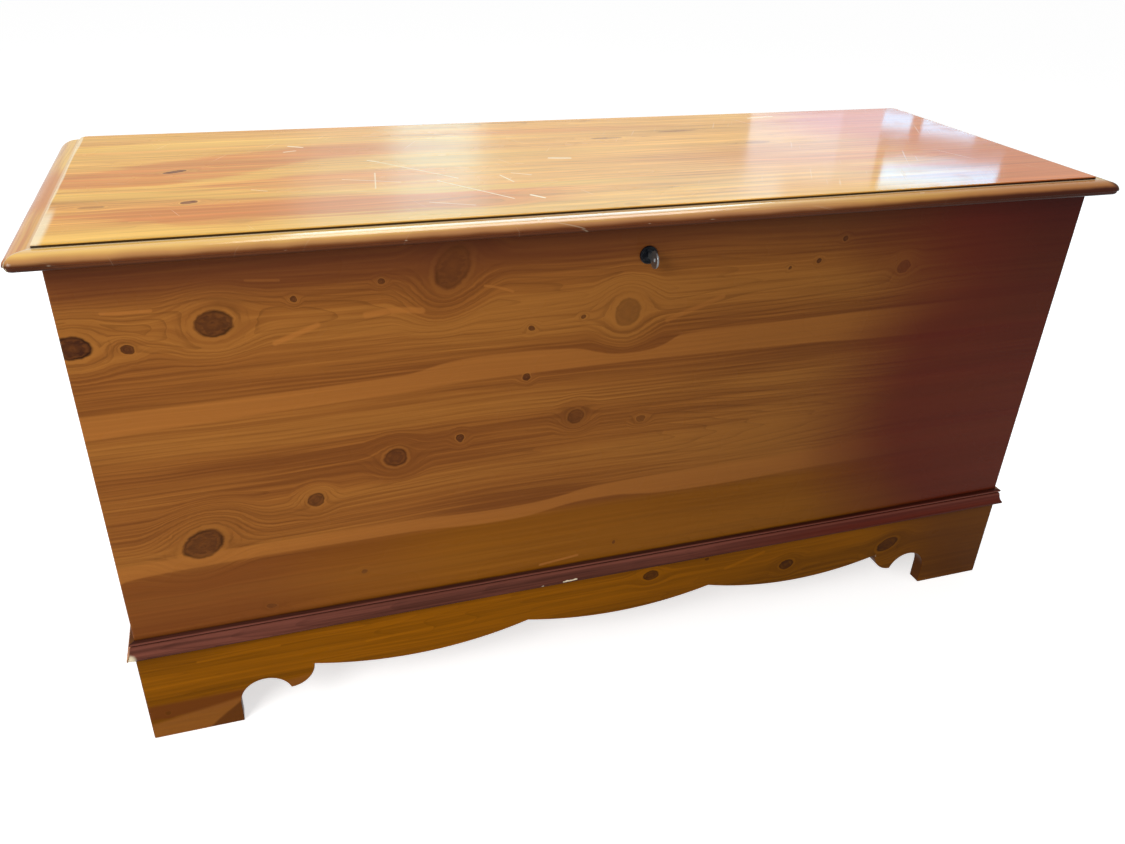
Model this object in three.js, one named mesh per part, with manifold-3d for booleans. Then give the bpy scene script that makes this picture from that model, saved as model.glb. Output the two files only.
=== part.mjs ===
import * as THREE from 'three';
import { mergeVertices } from 'three/addons/utils/BufferGeometryUtils.js';
import Module from 'manifold-3d';

const wasm = await Module();
wasm.setup();

// A cedar blanket chest, in millimetres: x runs along the front, y from the front
// face of the case to the back, z up from the floor. The pieces of the lid are
// measured from the hinge axis. The whole part is centred on its own depth last.

// Case
const bodyWidth = 1160;
const bodyDepth = 408;
const caseHeight = 458;
const boardThickness = 19;
const cornerLip = 8;
const edgeEase = 0.8;

// Fits
const glueLine = 0.2;
const clearance = 0.3;
const overrun = 5;

// Floor
const floorThickness = 12;
const tongueReach = 5;
const tongueThickness = 4;
const cleatSize = 20;

// Plinth
const plinthHeight = 127;
const plinthProud = 3;
const footWidth = 101;
const bracketRadius = 30;
const bracketCentreHeight = 29;
const lobeRadius = 30;
const cuspHeight = 72;
const outerScallopSag = 18;
const middleScallopSag = 15;
const endFootWidth = 82;
const endScallopSag = 8;
const backFootWidth = 90;
const backRailLift = 62;
const cornerBlockSize = 38;
const cornerBlockHeight = 104;

// Base moulding
const baseMouldingHeight = 20;
const baseMouldingReach = 10;
const baseLipHeight = 3;
const beadRadius = 2.2;
const beadReach = 3.2;
const quirkReach = 2.4;
const quirkWidth = 1.4;

// Lid
const lidGap = 0.6;
const lidThickness = 17.8;
const panelProud = 3.75;
const panelStep = 3;
const lidMouldingWidth = 22.4;
const noseRadius = 6;
const noseUndercut = 1.6;
const noseFootRadius = 3;
const lidFrontCornerRadius = 5;
const lidBackCornerRadius = 30;
const battenWidth = 45;
const battenThickness = 16;
const battenInset = 14;
const battenEndDistance = 280;

// Hinges
const hingeEndDistance = 200;
const hingeLength = 76;
const knuckleRadius = 3.6;
const hingePinRadius = 1.7;
const hingePinHeadRadius = 2.8;
const hingePinHeadThickness = 1.4;
const leafWidth = 15;
const leafThickness = 1.8;

// Lid stays
const armWidth = 14;
const armThickness = 2;
const stayLidReach = 200;
const stayBodyReach = 84;
const stayBodyDrop = 181;
const bracketHeight = 52;
const bracketFootWidth = 16;
const bracketFootLength = 50;
const rivetRadius = 2.5;
const rivetHeadRadius = 5;
const rivetHeadThickness = 1.4;

// Screw holes
const screwRadius = 1.8;
const screwHeadRadius = 3.6;
const screwHeadDepth = 1.5;

// Lock
const lockDrop = 36.7;
const lockFlangeRadius = 10;
const lockFlangeThickness = 2.8;
const lockBarrelRadius = 8;
const lockBarrelSpare = 2.5;
const plugRadius = 6.1;
const plugHeadRadius = 7.4;
const plugHeadThickness = 1.4;
const plugRecess = 0.4;
const nutRadius = 11.5;
const nutThickness = 4;
const tailSize = 6;
const camThickness = 2.5;
const camLength = 26;
const camWidth = 11;
const camScrewRadius = 1.5;
const camScrewHeadRadius = 4.6;
const camScrewHeadThickness = 2.2;
const camScrewLength = 6;

// Key
const keyThickness = 1.8;
const keyBladeHeight = 6.4;
const keyBladeLength = 20;
const keyCutDepth = 1.6;
const keyNeckLength = 5;
const keyBowLength = 19;
const keyBowHeight = 17;
const keyBowHoleRadius = 2.6;

// Strike on the lid
const strikeThickness = 2;
const strikeWidth = 13;
const strikePlateDepth = 30;
const strikeLipReach = 8;
const strikeSideGap = 3;
const strikeBackGap = 2.8;
const strikeLipGap = 0.8;

// How finely round forms are cut
const curveSteps = 6;
const roundSides = 24;
const smallSides = 16;

// The lobe's tip on the bracket arc, from the level of the arc's centre
const bracketTipAngle = THREE.MathUtils.degToRad(17.5);
const middleScallopShare = 0.323;
const screwCrownShare = 0.7;
const floorBoards = 4;
const knuckles = 5;
const keyCutShares = [0.24, 0.42, 0.58, 0.76];
const leafHoleShares = [-0.36, 0, 0.36];

// Levels and faces worked out from the sizes above
const caseBottom = plinthHeight + glueLine;
const caseTop = caseBottom + caseHeight;
const halfWidth = bodyWidth / 2;
const innerHalfWidth = halfWidth - boardThickness;
const innerBack = bodyDepth - boardThickness;
const plinthHalfWidth = halfWidth + plinthProud;
const hingeY = bodyDepth + clearance + knuckleRadius;
const hingeZ = caseTop + lidGap / 2;
const lidUnder = lidGap / 2;
const lidBack = bodyDepth - hingeY;
const lidPanelFront = -panelProud - hingeY;
const lidPanelHalfWidth = halfWidth + panelProud;
const lidReach = lidMouldingWidth + glueLine;
const lockZ = caseTop - lockDrop;

const cedar = new THREE.MeshStandardMaterial({ color: 0x9c5f2e, roughness: 0.34, metalness: 0 });
const paleCedar = new THREE.MeshStandardMaterial({ color: 0xc08a4e, roughness: 0.3, metalness: 0 });
const trimCedar = new THREE.MeshStandardMaterial({ color: 0x6b3f35, roughness: 0.4, metalness: 0 });
const rawCedar = new THREE.MeshStandardMaterial({ color: 0xb07a55, roughness: 0.8, metalness: 0 });
const brass = new THREE.MeshStandardMaterial({ color: 0xb08d4a, roughness: 0.35, metalness: 1 });
const steel = new THREE.MeshStandardMaterial({ color: 0xaeb2b8, roughness: 0.3, metalness: 1 });
const blackMetal = new THREE.MeshStandardMaterial({ color: 0x14171b, roughness: 0.35, metalness: 0.6 });

// Solids

function solid(geometry) {
  const bare = geometry.clone();
  bare.deleteAttribute('normal');
  bare.deleteAttribute('uv');
  const merged = mergeVertices(bare);
  const corners = merged.index.array;
  const triangles = [];
  for (let i = 0; i < corners.length; i += 3) {
    const [a, b, c] = corners.slice(i, i + 3);
    if (a !== b && b !== c && c !== a) {
      triangles.push(a, b, c);
    }
  }
  return new wasm.Manifold(new wasm.Mesh({
    numProp: 3,
    vertProperties: merged.attributes.position.array,
    triVerts: Uint32Array.from(triangles),
  }));
}

function piece(name, form, material) {
  const { vertProperties, triVerts, numProp } = form.getMesh();
  const geometry = new THREE.BufferGeometry();
  geometry.setAttribute('position', new THREE.BufferAttribute(vertProperties, numProp));
  geometry.setIndex(new THREE.BufferAttribute(triVerts, 1));
  geometry.computeVertexNormals();
  const mesh = new THREE.Mesh(geometry, material);
  mesh.name = name;
  return mesh;
}

function block(x0, x1, y0, y1, z0, z1) {
  const geometry = new THREE.BoxGeometry(x1 - x0, y1 - y0, z1 - z0);
  geometry.translate((x0 + x1) / 2, (y0 + y1) / 2, (z0 + z1) / 2);
  return solid(geometry);
}

// A board with a small flat planed along each of its twelve edges
function easedBlock(x0, x1, y0, y1, z0, z1, ease = edgeEase) {
  const outline = new THREE.Shape();
  outline.moveTo(x0 + ease, y0);
  outline.lineTo(x1 - ease, y0);
  outline.lineTo(x1, y0 + ease);
  outline.lineTo(x1, y1 - ease);
  outline.lineTo(x1 - ease, y1);
  outline.lineTo(x0 + ease, y1);
  outline.lineTo(x0, y1 - ease);
  outline.lineTo(x0, y0 + ease);
  outline.closePath();
  const geometry = new THREE.ExtrudeGeometry(outline, {
    depth: z1 - z0 - 2 * ease,
    bevelEnabled: true,
    bevelThickness: ease,
    bevelSize: ease,
    bevelOffset: -ease,
    bevelSegments: 1,
  });
  geometry.translate(0, 0, z0 + ease);
  return solid(geometry);
}

const unitX = new THREE.Vector3(1, 0, 0);
const unitY = new THREE.Vector3(0, 1, 0);
const unitZ = new THREE.Vector3(0, 0, 1);
const outlineYZ = new THREE.Matrix4().makeBasis(unitY, unitZ, unitX);
const outlineXZ = new THREE.Matrix4().makeBasis(unitX, unitZ, unitY.clone().negate());

function extrusion(outline, depth) {
  return new THREE.ExtrudeGeometry(outline, { depth, bevelEnabled: false, curveSegments: curveSteps });
}

// An outline in y and z, carried along x
function sweepX(outline, x0, x1) {
  const geometry = extrusion(outline, x1 - x0);
  geometry.applyMatrix4(outlineYZ);
  geometry.translate(x0, 0, 0);
  return solid(geometry);
}

// An outline in x and z, carried along y
function sweepY(outline, y0, y1) {
  const geometry = extrusion(outline, y1 - y0);
  geometry.applyMatrix4(outlineXZ);
  geometry.translate(0, y1, 0);
  return solid(geometry);
}

// An outline in x and y, carried up z
function sweepZ(outline, z0, z1) {
  const geometry = extrusion(outline, z1 - z0);
  geometry.translate(0, 0, z0);
  return solid(geometry);
}

// A round bar between two places along an axis, through a centre point
function bar(axis, radius, from, to, centre, sides = smallSides) {
  const geometry = new THREE.CylinderGeometry(radius, radius, to - from, sides);
  geometry.translate(0, (from + to) / 2, 0);
  geometry.applyQuaternion(new THREE.Quaternion().setFromUnitVectors(unitY, axis));
  geometry.translate(centre.x, centre.y, centre.z);
  return solid(geometry);
}

// A turned form: a profile of radius and height about an axis
function turned(profile, axis = unitY, sides = roundSides) {
  const points = profile.map(([radius, height]) => new THREE.Vector2(radius, height));
  const geometry = new THREE.LatheGeometry(points, sides);
  geometry.applyQuaternion(new THREE.Quaternion().setFromUnitVectors(unitY, axis));
  return solid(geometry);
}

function outlineOf(points) {
  return new THREE.Shape(points.map(([u, v]) => new THREE.Vector2(u, v)));
}

// A countersunk hole, its wide end at a point on a face and out along its normal
function screwHole(x, y, z, outward) {
  const through = -screwHeadDepth - overrun;
  const cutter = turned([
    [0, through],
    [screwRadius, through],
    [screwRadius, -screwHeadDepth],
    [screwHeadRadius, 0],
    [screwHeadRadius, overrun],
    [0, overrun],
  ], outward, smallSides);
  return cutter.translate(x, y, z);
}

// The ground that a mitred front piece covers: its ends run in at 45 degrees
function mitreWedge(outerX, outerY, width, gap, z0, z1) {
  const inner = width + overrun;
  const outer = outerX + overrun - gap / 2;
  return sweepZ(outlineOf([
    [-outer, outerY - overrun],
    [outer, outerY - overrun],
    [outer - inner - overrun, outerY + inner],
    [overrun + inner - outer, outerY + inner],
  ]), z0, z1);
}

// Case: four boards, the ends let into the front and back behind a lip

const leafHoleX = leafHoleShares.map((share) => share * hingeLength);
const hingeReach = halfWidth - hingeEndDistance;
const hingeX = [-hingeReach, hingeReach];

function cornerRabbet(side, y0, y1) {
  const inner = innerHalfWidth - glueLine;
  const outer = halfWidth + overrun;
  const edges = side < 0 ? [-outer, -inner] : [inner, outer];
  return block(...edges, y0, y1, caseBottom - overrun, caseTop + overrun);
}

function frontPanel() {
  const board = easedBlock(-halfWidth, halfWidth, 0, boardThickness, caseBottom, caseTop);
  const lockHole = bar(
    unitY, lockBarrelRadius + clearance, -overrun, boardThickness + overrun,
    new THREE.Vector3(0, 0, lockZ), roundSides,
  );
  return board
    .subtract(cornerRabbet(-1, cornerLip, boardThickness + overrun))
    .subtract(cornerRabbet(1, cornerLip, boardThickness + overrun))
    .subtract(lockHole);
}

function backPanel() {
  let board = easedBlock(-halfWidth, halfWidth, innerBack, bodyDepth, caseBottom, caseTop);
  for (const side of [-1, 1]) {
    board = board.subtract(cornerRabbet(side, innerBack - overrun, bodyDepth - cornerLip));
  }
  for (const x of hingeX) {
    const half = hingeLength / 2 + clearance;
    board = board.subtract(block(
      x - half, x + half,
      bodyDepth - leafWidth - clearance, bodyDepth + overrun,
      caseTop - leafThickness - clearance, caseTop + overrun,
    ));
  }
  return board;
}

function endPanel(side) {
  const faces = side < 0 ? [-halfWidth, -innerHalfWidth] : [innerHalfWidth, halfWidth];
  return easedBlock(
    ...faces, cornerLip + glueLine, bodyDepth - cornerLip - glueLine, caseBottom, caseTop,
  );
}

// Floor: boards tongued into each other, loose on cleats that are glued to the walls

const floorUnder = caseBottom + cleatSize + glueLine;
const floorTop = floorUnder + floorThickness;
const floorHalfWidth = innerHalfWidth - clearance;

function floorBoard(index) {
  const front = boardThickness + clearance;
  const pitch = (innerBack - clearance - front) / floorBoards;
  const y0 = front + index * pitch;
  const y1 = y0 + pitch - (index < floorBoards - 1 ? clearance : 0);
  const middle = floorUnder + floorThickness / 2;
  const half = tongueThickness / 2;
  let board = block(-floorHalfWidth, floorHalfWidth, y0, y1, floorUnder, floorTop);
  if (index > 0) {
    board = board.subtract(block(
      -halfWidth, halfWidth, y0 - overrun, y0 + tongueReach,
      middle - half - clearance, middle + half + clearance,
    ));
  }
  if (index < floorBoards - 1) {
    board = board.add(block(
      -floorHalfWidth, floorHalfWidth, y1 - tongueReach, y1 + tongueReach,
      middle - half, middle + half,
    ));
  }
  return board;
}

const cleatFront = boardThickness + glueLine;
const cleatBack = innerBack - glueLine;
const cleatHalfWidth = innerHalfWidth - glueLine;

function longCleat(y0) {
  return easedBlock(
    -cleatHalfWidth, cleatHalfWidth, y0, y0 + cleatSize, caseBottom, caseBottom + cleatSize,
  );
}

function shortCleat(side) {
  const inner = cleatHalfWidth - cleatSize;
  const faces = side < 0 ? [-cleatHalfWidth, -inner] : [inner, cleatHalfWidth];
  return easedBlock(
    ...faces,
    cleatFront + cleatSize + glueLine, cleatBack - cleatSize - glueLine,
    caseBottom, caseBottom + cleatSize,
  );
}

// Plinth: bracket feet joined by scallops, mitred at the front corners

// An arc that hangs below the chord from one point to the next
function hangingArc(outline, u0, v0, u1, v1, sag) {
  const chord = Math.hypot(u1 - u0, v1 - v0);
  const radius = (chord * chord / 4 + sag * sag) / (2 * sag);
  const rise = (radius - sag) / chord;
  const centreU = (u0 + u1) / 2 - (v1 - v0) * rise;
  const centreV = (v0 + v1) / 2 + (u1 - u0) * rise;
  outline.absarc(
    centreU, centreV, radius,
    Math.atan2(v0 - centreV, u0 - centreU), Math.atan2(v1 - centreV, u1 - centreU), false,
  );
}

// The outline of a skirt: a foot, a bracket arc and a lobe at each end, and between
// them scallops that meet in cusps
function skirtOutline(start, end, foot, cusps, sags) {
  const tipReach = bracketRadius * (1 + Math.cos(bracketTipAngle));
  const tipHeight = bracketCentreHeight + bracketRadius * Math.sin(bracketTipAngle);
  const outline = new THREE.Shape();
  outline.moveTo(start, plinthHeight);
  outline.lineTo(start, 0);
  outline.lineTo(start + foot, 0);
  outline.absarc(
    start + foot + bracketRadius, bracketCentreHeight, bracketRadius,
    Math.PI, bracketTipAngle, true,
  );
  outline.absarc(
    start + foot + tipReach, tipHeight + lobeRadius, lobeRadius, -Math.PI / 2, 0, false,
  );
  let last = [start + foot + tipReach + lobeRadius, tipHeight + lobeRadius];
  for (let i = 0; i < sags.length; i += 1) {
    hangingArc(outline, ...last, ...cusps[i], sags[i]);
    last = cusps[i];
  }
  outline.absarc(
    end - foot - tipReach, tipHeight + lobeRadius, lobeRadius, Math.PI, 1.5 * Math.PI, false,
  );
  outline.absarc(
    end - foot - bracketRadius, bracketCentreHeight, bracketRadius,
    Math.PI - bracketTipAngle, 0, true,
  );
  outline.lineTo(end - foot, 0);
  outline.lineTo(end, 0);
  outline.lineTo(end, plinthHeight);
  outline.closePath();
  return outline;
}

// The far end of the last scallop, where the second lobe begins
function lastCusp(end, foot) {
  const tipReach = bracketRadius * (1 + Math.cos(bracketTipAngle));
  const tipHeight = bracketCentreHeight + bracketRadius * Math.sin(bracketTipAngle);
  return [end - foot - tipReach - lobeRadius, tipHeight + lobeRadius];
}

function plinthWedge(gap) {
  return mitreWedge(
    plinthHalfWidth, -plinthProud, boardThickness, gap, -overrun, plinthHeight + overrun,
  );
}

function plinthFront() {
  const final = lastCusp(plinthHalfWidth, footWidth);
  const cusp = final[0] * middleScallopShare;
  const outline = skirtOutline(
    -plinthHalfWidth, plinthHalfWidth, footWidth,
    [[-cusp, cuspHeight], [cusp, cuspHeight], final],
    [outerScallopSag, middleScallopSag, outerScallopSag],
  );
  const board = sweepY(outline, -plinthProud, boardThickness - plinthProud);
  return board.intersect(plinthWedge(clearance));
}

function plinthEnd(side) {
  const outline = skirtOutline(
    -plinthProud, bodyDepth, endFootWidth,
    [lastCusp(bodyDepth, endFootWidth)], [endScallopSag],
  );
  const outer = plinthHalfWidth;
  const inner = plinthHalfWidth - boardThickness;
  const board = side < 0 ? sweepX(outline, -outer, -inner) : sweepX(outline, inner, outer);
  return board.subtract(plinthWedge(-clearance));
}

function plinthBack() {
  const half = plinthHalfWidth - boardThickness - glueLine;
  const outline = outlineOf([
    [-half, plinthHeight],
    [-half, 0],
    [-half + backFootWidth, 0],
    [-half + backFootWidth + backRailLift / 2, backRailLift],
    [half - backFootWidth - backRailLift / 2, backRailLift],
    [half - backFootWidth, 0],
    [half, 0],
    [half, plinthHeight],
  ]);
  return sweepY(outline, innerBack, bodyDepth);
}

function cornerBlock(side, atBack) {
  const outer = plinthHalfWidth - boardThickness - 2 * glueLine;
  const inner = outer - cornerBlockSize;
  const front = boardThickness - plinthProud + 2 * glueLine;
  const back = innerBack - 2 * glueLine;
  return easedBlock(
    ...(side < 0 ? [-outer, -inner] : [inner, outer]),
    ...(atBack ? [back - cornerBlockSize, back] : [front, front + cornerBlockSize]),
    plinthHeight - cornerBlockHeight, plinthHeight,
  );
}

// Base moulding: a bead and a quirk over a hollow that runs out to a square lip

function baseProfile() {
  const foot = caseBottom;
  const top = foot + baseMouldingHeight;
  const outer = glueLine + baseMouldingReach;
  const beadCentre = top - beadRadius;
  const quirkTop = beadCentre - beadRadius;
  const quirkBottom = quirkTop - quirkWidth;
  const profile = new THREE.Shape();
  profile.moveTo(glueLine, foot);
  profile.lineTo(outer, foot);
  profile.lineTo(outer, foot + baseLipHeight);
  profile.quadraticCurveTo(
    glueLine + beadReach + beadRadius, foot + baseLipHeight,
    glueLine + beadReach + quirkWidth, quirkBottom,
  );
  profile.lineTo(glueLine + quirkReach, quirkTop);
  profile.lineTo(glueLine + beadReach, quirkTop);
  profile.absarc(glueLine + beadReach, beadCentre, beadRadius, -Math.PI / 2, Math.PI / 2, false);
  profile.lineTo(glueLine, top);
  profile.closePath();
  return profile;
}

// A profile drawn outward from a face, turned to face the front or an end
function mirrored(profile, shift) {
  const points = profile.getPoints(curveSteps).map((p) => [shift - p.x, p.y]);
  return outlineOf(points.reverse());
}

function shifted(profile, shift) {
  return outlineOf(profile.getPoints(curveSteps).map((p) => [shift + p.x, p.y]));
}

function baseWedge(gap) {
  const outer = glueLine + baseMouldingReach;
  return mitreWedge(
    halfWidth + outer, -outer, outer, gap, plinthHeight, caseBottom + baseMouldingHeight + overrun,
  );
}

function baseMouldingFront() {
  const outer = halfWidth + glueLine + baseMouldingReach;
  return sweepX(mirrored(baseProfile(), 0), -outer, outer).intersect(baseWedge(clearance));
}

function baseMouldingEnd(side) {
  const front = -glueLine - baseMouldingReach;
  const profile = side < 0 ? mirrored(baseProfile(), -halfWidth) : shifted(baseProfile(), halfWidth);
  return sweepY(profile, front, bodyDepth).subtract(baseWedge(-clearance));
}

// Lid: a raised panel of glued boards, edged on three sides

function lidPanel() {
  let board = easedBlock(
    -lidPanelHalfWidth, lidPanelHalfWidth, lidPanelFront, lidBack, lidUnder, lidUnder + lidThickness,
  );
  for (const x of hingeX) {
    const half = hingeLength / 2 + clearance;
    board = board.subtract(block(
      x - half, x + half, lidBack - leafWidth - clearance, lidBack + overrun,
      lidUnder - overrun, lidUnder + leafThickness + clearance,
    ));
  }
  return board.intersect(lidGround());
}

// The plan of the whole lid, with its corners rounded off
function lidGround() {
  const outer = lidPanelHalfWidth + lidReach;
  const front = lidPanelFront - lidReach;
  const quarter = Math.PI / 2;
  const plan = new THREE.Shape();
  plan.absarc(-outer + lidFrontCornerRadius, front + lidFrontCornerRadius,
    lidFrontCornerRadius, -2 * quarter, -quarter, false);
  plan.absarc(outer - lidFrontCornerRadius, front + lidFrontCornerRadius,
    lidFrontCornerRadius, -quarter, 0, false);
  plan.absarc(outer - lidBackCornerRadius, lidBack - lidBackCornerRadius,
    lidBackCornerRadius, 0, quarter, false);
  plan.absarc(-outer + lidBackCornerRadius, lidBack - lidBackCornerRadius,
    lidBackCornerRadius, quarter, 2 * quarter, false);
  plan.closePath();
  return sweepZ(plan, lidUnder - overrun, lidUnder + lidThickness + overrun);
}

// The edging's section: flat on top, a round nose, and a face that falls back below
function lidProfile() {
  const top = lidUnder + lidThickness - panelStep;
  const nose = lidReach - noseRadius;
  const faceFoot = lidReach - noseUndercut;
  const profile = new THREE.Shape();
  profile.moveTo(glueLine, lidUnder);
  profile.lineTo(faceFoot - noseFootRadius, lidUnder);
  profile.quadraticCurveTo(faceFoot, lidUnder, faceFoot, lidUnder + noseFootRadius);
  profile.lineTo(lidReach, top - noseRadius);
  profile.absarc(nose, top - noseRadius, noseRadius, 0, Math.PI / 2, false);
  profile.lineTo(glueLine, top);
  profile.closePath();
  return profile;
}

function lidWedge(gap) {
  return mitreWedge(
    lidPanelHalfWidth + lidReach, lidPanelFront - lidReach, lidReach, gap,
    lidUnder - overrun, lidUnder + lidThickness,
  );
}

function lidMouldingFront() {
  const outer = lidPanelHalfWidth + lidReach;
  const edging = sweepX(mirrored(lidProfile(), lidPanelFront), -outer, outer);
  return edging.intersect(lidWedge(clearance)).intersect(lidGround());
}

function lidMouldingEnd(side) {
  const profile = side < 0
    ? mirrored(lidProfile(), -lidPanelHalfWidth)
    : shifted(lidProfile(), lidPanelHalfWidth);
  const edging = sweepY(profile, lidPanelFront - lidReach, lidBack);
  return edging.subtract(lidWedge(-clearance)).intersect(lidGround());
}

function lidBatten(side) {
  const middle = side * (halfWidth - battenEndDistance);
  return easedBlock(
    middle - battenWidth / 2, middle + battenWidth / 2,
    boardThickness + battenInset - hingeY, innerBack - battenInset - hingeY,
    lidUnder - glueLine - battenThickness, lidUnder - glueLine, 3 * edgeEase,
  );
}

// Hinges: two leaves with interleaved knuckles on one pin, measured from the pin

function knuckleSpan(index) {
  const pitch = hingeLength / knuckles;
  const x0 = index * pitch - hingeLength / 2;
  return [x0 + clearance / 2, x0 + pitch - clearance / 2];
}

function hingeLeaf(first, below) {
  const near = lidGap / 2;
  const far = near + leafThickness;
  const faces = below ? [-far, -near] : [near, far];
  const edge = -knuckleRadius - clearance;
  const axis = new THREE.Vector3(0, 0, 0);
  const half = hingeLength / 2;
  let leaf = block(-half, half, edge - leafWidth, edge, ...faces);
  for (let i = first; i < knuckles; i += 2) {
    const [x0, x1] = knuckleSpan(i);
    leaf = leaf
      .add(block(x0, x1, edge - leafWidth, 0, ...faces))
      .add(bar(unitX, knuckleRadius, x0, x1, axis, roundSides));
  }
  const bore = hingePinRadius + clearance / 2;
  leaf = leaf.subtract(bar(unitX, bore, -half - overrun, half + overrun, axis, roundSides));
  const face = below ? -near : near;
  const outward = below ? unitZ : unitZ.clone().negate();
  for (const x of leafHoleX) {
    leaf = leaf.subtract(screwHole(x, edge - leafWidth / 2, face, outward));
  }
  return leaf;
}

function hingePin() {
  const end = hingeLength / 2 + clearance / 2;
  const tip = end + hingePinHeadThickness;
  return turned([
    [0, -tip],
    [hingePinHeadRadius, -tip],
    [hingePinHeadRadius, -end],
    [hingePinRadius, -end],
    [hingePinRadius, end],
    [hingePinHeadRadius, end],
    [hingePinHeadRadius, tip],
    [0, tip],
  ], unitX);
}

// Lid stays: two arms a side, in layers inward from the end's inner face

const plateLayer = [clearance, clearance + armThickness];
const lowerLayer = [plateLayer[1] + clearance, plateLayer[1] + clearance + armThickness];
const upperLayer = [lowerLayer[1] + clearance, lowerLayer[1] + clearance + armThickness];
const stayLidDrop = armThickness + armWidth / 2 + 4 * clearance;
const bodyPivot = new THREE.Vector3(0, -stayBodyReach, -stayBodyDrop);
const lidPivot = new THREE.Vector3(0, -stayLidReach, -stayLidDrop);
const elbow = bodyPivot.clone().add(lidPivot);
const pivotHoleRadius = rivetRadius + clearance;

// x places of a layer on one side of the chest, from the end's inner face
function layer(side, [s0, s1]) {
  return side < 0 ? [s0, s1] : [-s1, -s0];
}

function stayArm(side, span, length) {
  const half = armWidth / 2;
  const outline = new THREE.Shape();
  outline.absarc(0, 0, half, Math.PI / 2, 1.5 * Math.PI, false);
  outline.absarc(length, 0, half, -Math.PI / 2, Math.PI / 2, false);
  outline.closePath();
  let arm = sweepX(outline, ...layer(side, span));
  for (const y of [0, length]) {
    arm = arm.subtract(bar(
      unitX, pivotHoleRadius, -bodyWidth, bodyWidth, new THREE.Vector3(0, y, 0),
    ));
  }
  return arm;
}

// An arm, turned about its first pivot so that its far pivot lies on the second one
function placedArm(name, side, span, from, to) {
  const reach = to.clone().sub(from);
  const arm = piece(name, stayArm(side, span, reach.length()), brass);
  arm.position.copy(from);
  arm.rotation.x = Math.atan2(reach.z, reach.y);
  return arm;
}

function stayBodyBracket(side) {
  const half = armWidth / 2;
  const rise = bracketHeight / 2 - half;
  const outline = new THREE.Shape();
  outline.absarc(0, rise, half, 0, Math.PI, false);
  outline.absarc(0, -rise, half, Math.PI, 2 * Math.PI, false);
  outline.closePath();
  const [x0, x1] = layer(side, plateLayer);
  const face = side < 0 ? x1 : x0;
  const outward = side < 0 ? unitX : unitX.clone().negate();
  const centre = new THREE.Vector3(0, 0, 0);
  return sweepX(outline, x0, x1)
    .subtract(bar(unitX, pivotHoleRadius, x0 - overrun, x1 + overrun, centre))
    .subtract(screwHole(face, 0, rise, outward))
    .subtract(screwHole(face, 0, -rise, outward));
}

// Measured from the lid pivot: a lug on a foot that is screwed to the lid
function stayLidBracket(side) {
  const half = armWidth / 2;
  const footTop = stayLidDrop + lidUnder - clearance;
  const footUnder = footTop - armThickness;
  const outline = new THREE.Shape();
  outline.moveTo(half, footTop);
  outline.lineTo(-half, footTop);
  outline.absarc(0, 0, half, Math.PI, 2 * Math.PI, false);
  outline.closePath();
  const [lug0, lug1] = layer(side, lowerLayer);
  const [foot0, foot1] = layer(side, [lowerLayer[0], lowerLayer[0] + bracketFootWidth]);
  const holeX = side < 0 ? foot1 - bracketFootWidth / 2 : foot0 + bracketFootWidth / 2;
  const holeY = bracketFootLength / 2 - screwHeadRadius - armThickness;
  const down = unitZ.clone().negate();
  const centre = new THREE.Vector3(0, 0, 0);
  return sweepX(outline, lug0, lug1)
    .add(block(
      foot0, foot1, -bracketFootLength / 2, bracketFootLength / 2, footUnder, footTop,
    ))
    .subtract(bar(unitX, pivotHoleRadius, lug0 - overrun, lug1 + overrun, centre))
    .subtract(screwHole(holeX, -holeY, footUnder, down))
    .subtract(screwHole(holeX, holeY, footUnder, down));
}

// A rivet from one layer to another, with a head at its inner end, and at its
// outer end too where there is room behind
function rivet(side, outer, inner, headed) {
  const head0 = outer - clearance - rivetHeadThickness;
  const shank0 = outer - clearance;
  const shank1 = inner + clearance / 2;
  const head1 = shank1 + rivetHeadThickness;
  const crown = rivetHeadRadius / 2;
  const start = headed
    ? [[0, head0], [crown, head0], [rivetHeadRadius, shank0], [rivetRadius, shank0]]
    : [[0, outer], [rivetRadius, outer]];
  const profile = [
    ...start,
    [rivetRadius, shank1],
    [rivetHeadRadius, shank1],
    [crown, head1],
    [0, head1],
  ];
  const inward = side < 0 ? unitX : unitX.clone().negate();
  return turned(profile, inward, smallSides);
}

// Lock: a barrel through the front, measured from the face of the case on its axis

const nutFace = boardThickness + clearance;
const barrelEnd = nutFace + nutThickness + lockBarrelSpare;
const camFace = barrelEnd + clearance;
const camEnd = camFace + camThickness;
const plugFace = plugRecess - lockFlangeThickness;
const plugStep = plugFace + plugHeadThickness;
const fit = clearance / 2;

function lockHousing() {
  const front = -lockFlangeThickness;
  const bore = plugRadius + fit;
  const counterbore = plugHeadRadius + fit;
  return turned([
    [counterbore, front],
    [lockFlangeRadius - plugRecess, front],
    [lockFlangeRadius, front + plugRecess],
    [lockFlangeRadius, -clearance],
    [lockBarrelRadius, -clearance],
    [lockBarrelRadius, barrelEnd],
    [bore, barrelEnd],
    [bore, plugStep + fit],
    [counterbore, plugStep + fit],
    [counterbore, front],
  ]);
}

function lockNut() {
  const centre = new THREE.Vector3(0, 0, 0);
  const hexagon = bar(unitY, nutRadius, nutFace, nutFace + nutThickness, centre, 6);
  return hexagon.subtract(bar(
    unitY, lockBarrelRadius + clearance, 0, nutFace + nutThickness + overrun, centre, roundSides,
  ));
}

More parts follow.
